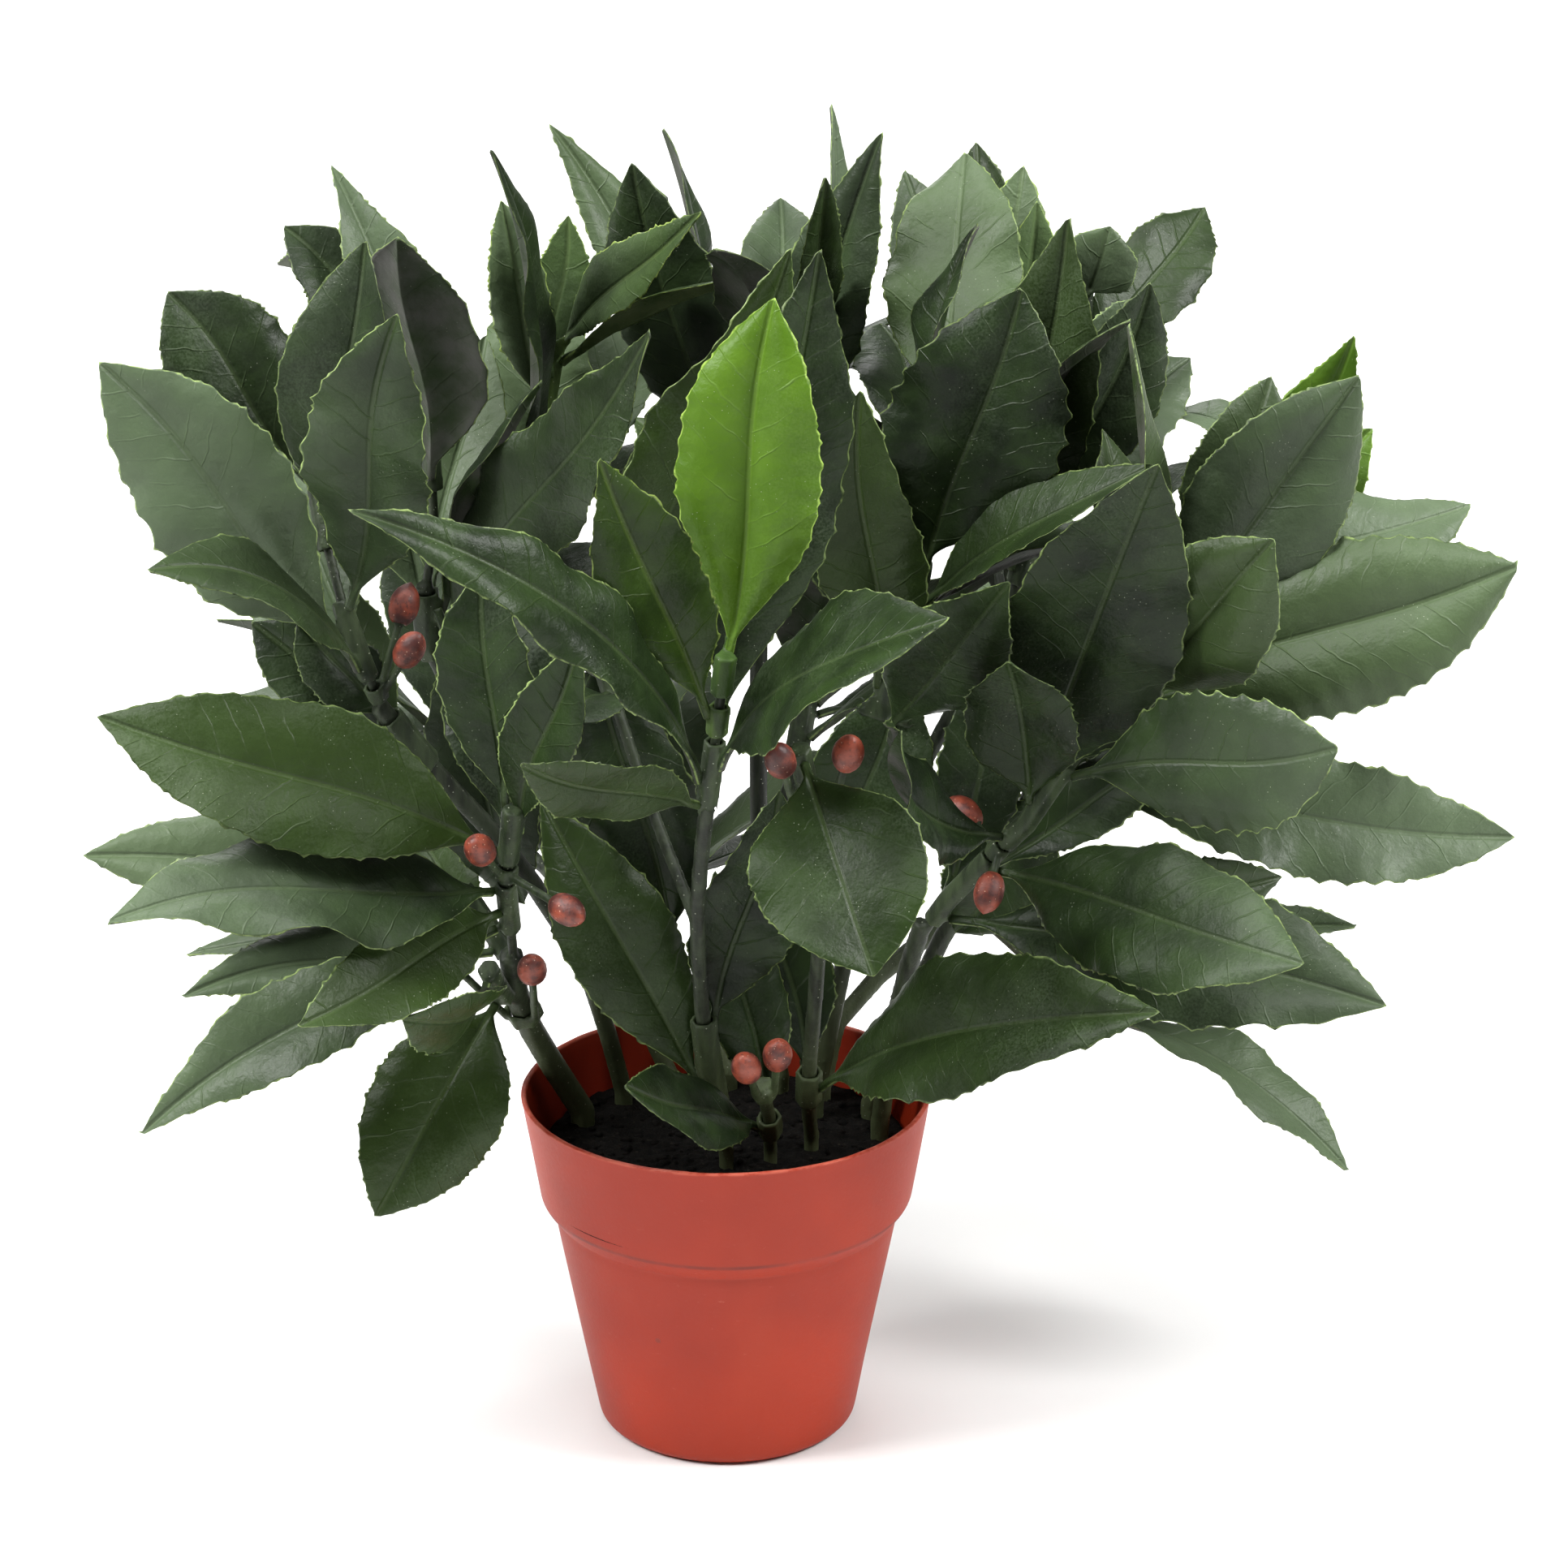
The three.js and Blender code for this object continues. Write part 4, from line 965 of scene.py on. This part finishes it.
def pot_paint():
    paint = Paint("pot")
    broad = paint.cloud(14, 3.0)
    fine = paint.cloud(900, 3.0)
    swirl = paint.cloud(60, 4.0, stretch=(1, 1, 0.35))
    base = paint.mix(paint.step(broad, 0.3, 0.7), linear(138, 34, 8), linear(160, 44, 12))
    base = paint.mix(paint.step(swirl, 0.5, 0.8) * 0.2, base, linear(164, 60, 34))
    scuffs = paint.cloud(240, 5.0, stretch=(1, 1, 3), roughness=0.7)
    base = paint.mix(paint.step(scuffs, 0.64, 0.76) * 0.2, base, linear(222, 150, 130))
    height = paint.height()
    # painted shade: a dark line under the collar's edge, where the surface turns away from the light
    crease = 1 - paint.step(abs(height - CREASE_SHADE_HEIGHT), *CREASE_SHADE_LINE)
    base = paint.mix(crease * paint.step(swirl, 0.2, 0.6) * 0.7, base, linear(88, 22, 12))
    # painted highlight: a pale band round the top of the lip, broken up by the scuff noise
    lip = paint.step(height, *LIP_HIGHLIGHT_HEIGHTS)
    base = paint.mix(lip * paint.step(scuffs, 0.3, 0.6) * 0.35, base, linear(224, 130, 108))
    marks = paint.specks(45, 0.05)
    base = paint.mix(marks * 0.6, base, linear(110, 44, 34))
    paint.set(Base_Color=base, Roughness=0.4 + fine * 0.12 + swirl * 0.08)
    paint.relief(fine * 0.25 + swirl * 0.6 - marks * 0.6, 0.4 * MM, 0.5)
    paint.gloss(0.3)
    return paint.material


pot_lot = (np.array(pot_places), pot_faces, None, None, 0)
pot = piece_from("pot", [pot_lot], [pot_paint()])
print("pot faces", len(pot.data.polygons))

# %% [markdown]
# ## The soil
# The pot is filled with dark foam that has loose grains glued on top. The surface is a disc of fine rings
# raised by layered noise, with several hundred crumbs bedded in it, all in near-black brown.

# %% Soil surface
_, soil_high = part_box("soil")
SOIL_TOP = soil_high.z
SOIL_RADIUS = soil_high.x - 0.1 * MM  # clear of the pot's wall
SOIL_DEPTH = 12 * MM
SOIL_RINGS = 44
SOIL_SIDES = 150
MOUND = 9 * MM  # from one soft mound to the next


def soil_height(x, y):
    """The rough surface: low mounds with finer lumps on them."""
    place = Vector((x, y, 0)) / MOUND
    rough = noise.fractal(place * 3, 0.7, 2.2, 4)
    return SOIL_TOP - 1.2 * MM + 1.1 * MM * noise.noise(place) + 0.9 * MM * rough


soil_places = []
for ring in range(SOIL_RINGS + 1):
    share = 1 - ring / (SOIL_RINGS + 1)
    for side in range(SOIL_SIDES):
        angle = 2 * math.pi * side / SOIL_SIDES
        x, y = SOIL_RADIUS * share * math.cos(angle), SOIL_RADIUS * share * math.sin(angle)
        soil_places.append((x, y, soil_height(x, y) if ring else SOIL_TOP - SOIL_DEPTH))
soil_places.append((0, 0, soil_height(0, 0)))
soil_faces = loft_faces(SOIL_RINGS + 1, SOIL_SIDES, len(soil_places) - 1)
print("soil corners", len(soil_places))

# %% Crumbs of soil
CRUMBS = 420
CRUMB_REACH = SOIL_RADIUS * 0.97
CRUMB_SIZES = (0.5, 1.7)


def crumb(chance):
    """One small broken grain, part sunk in the surface."""
    angle, reach = chance.uniform(0, 2 * math.pi), CRUMB_REACH * math.sqrt(chance.random())
    x, y = reach * math.cos(angle), reach * math.sin(angle)
    size = chance.uniform(*CRUMB_SIZES) * MM
    grain = bmesh.new()
    bmesh.ops.create_icosphere(grain, subdivisions=1, radius=size)
    grain.verts.ensure_lookup_table()
    shift = Vector((chance.random(), chance.random(), chance.random())) * 9
    stretch = Vector((chance.uniform(0.7, 1.5), chance.uniform(0.7, 1.3), chance.uniform(0.5, 0.9)))
    places = []
    for corner in grain.verts:
        dent = 1 + 0.45 * noise.noise(corner.co / size + shift)
        places.append((Vector((x, y, soil_height(x, y))) + corner.co * stretch * dent)[:])
    faces = [[corner.index for corner in face.verts] for face in grain.faces]
    grain.free()
    return np.array(places), faces


print("crumb corners", len(crumb(random.Random("sample"))[0]))

# %% Soil material
def soil_paint():
    paint = Paint("soil")
    lumps = paint.cloud(420, 5.0, roughness=0.7)
    base = paint.mix(paint.step(lumps, 0.35, 0.7), linear(10, 10, 9), linear(28, 25, 22))
    base = paint.mix(paint.specks(300, 0.16) * 0.25, base, linear(76, 70, 60))
    paint.set(Base_Color=base, Roughness=0.8 + lumps * 0.15)
    paint.relief(lumps, 1.2 * MM, 1.0)
    paint.gloss(0.1)
    return paint.material


chance = random.Random("crumbs")
soil_lots = [(np.array(soil_places), soil_faces, None, None, 0)]
soil_lots.extend((*crumb(chance), None, None, 0) for _ in range(CRUMBS))
piece_from("soil", soil_lots, [soil_paint()])
print("crumbs", CRUMBS)

# %% [markdown]
# ## The room
# The plant stands on a plain pale floor. Two equal soft lights stand to the left and the right, a weak one
# behind separates the leaf edges, and a broad soft one overhead brightens the floor and the tops of the
# leaves. A dim sky keeps the shadows inside the crown from going black.

# %% Floor
def floor_paint():
    paint = Paint("floor")
    paint.set(Base_Color=linear(222, 222, 221), Roughness=0.9)
    return paint.material


FLOOR_RADIUS = 14
floor_mesh = bpy.data.meshes.new("floor")
floor_skin = bmesh.new()
bmesh.ops.create_circle(floor_skin, cap_ends=True, segments=96, radius=FLOOR_RADIUS)
floor_skin.to_mesh(floor_mesh)
floor_mesh.materials.append(floor_paint())
floor = bpy.data.objects.new("floor", floor_mesh)
bpy.context.scene.collection.objects.link(floor)
print("floor radius in m", FLOOR_RADIUS)

# %% Soft lights
HEART = (0, 0, 0.22)  # the middle of the crown


def softbox(name, place, size, power):
    """A round soft light that faces the plant."""
    light = bpy.data.lights.new(name, "AREA")
    light.shape = "DISK"
    light.size = size
    light.energy = power
    lamp = bpy.data.objects.new(name, light)
    lamp.location = place
    lamp.rotation_euler = (Vector(HEART) - Vector(place)).to_track_quat("-Z", "Y").to_euler()
    bpy.context.scene.collection.objects.link(lamp)


softbox("left", (-1.4, -0.45, 1.6), 1.0, 62)
softbox("right", (1.5, -0.35, 1.6), 1.0, 62)
softbox("back", (-0.3, 1.8, 1.3), 1.2, 14)

# %% Overhead light and sky
SUN_DIRECTION = (0.15, 0.1, -1)
sun = bpy.data.lights.new("overhead", "SUN")
sun.energy = 3.3
sun.angle = math.radians(44)
overhead = bpy.data.objects.new("overhead", sun)
overhead.rotation_euler = Vector(SUN_DIRECTION).to_track_quat("-Z", "Y").to_euler()
bpy.context.scene.collection.objects.link(overhead)
sky = bpy.data.worlds.new("sky")
sky.use_nodes = True
sky.node_tree.nodes["Background"].inputs["Color"].default_value = (1, 1, 1, 1)
sky.node_tree.nodes["Background"].inputs["Strength"].default_value = 0.12
bpy.context.scene.world = sky
bpy.context.scene.view_settings.view_transform = "Standard"
print("overhead light's angle", round(math.degrees(sun.angle)))

# %% [markdown]
# ## The camera
# A long lens, a good metre away and looking down a little, shows the soil inside the rim and keeps the
# near and far leaves at nearly one size.

# %% Camera
CAMERA_PLACE = (0.01694, -1.20002, 0.62988)
CAMERA_DROP = 19.78  # degrees below level
CAMERA_LENS = 102.71
camera = bpy.data.objects.new("camera", bpy.data.cameras.new("camera"))
camera.location = CAMERA_PLACE
camera.rotation_euler = (math.radians(90 - CAMERA_DROP), 0, 0)
camera.data.lens = CAMERA_LENS
bpy.context.scene.collection.objects.link(camera)
bpy.context.scene.camera = camera
print("lens", CAMERA_LENS)
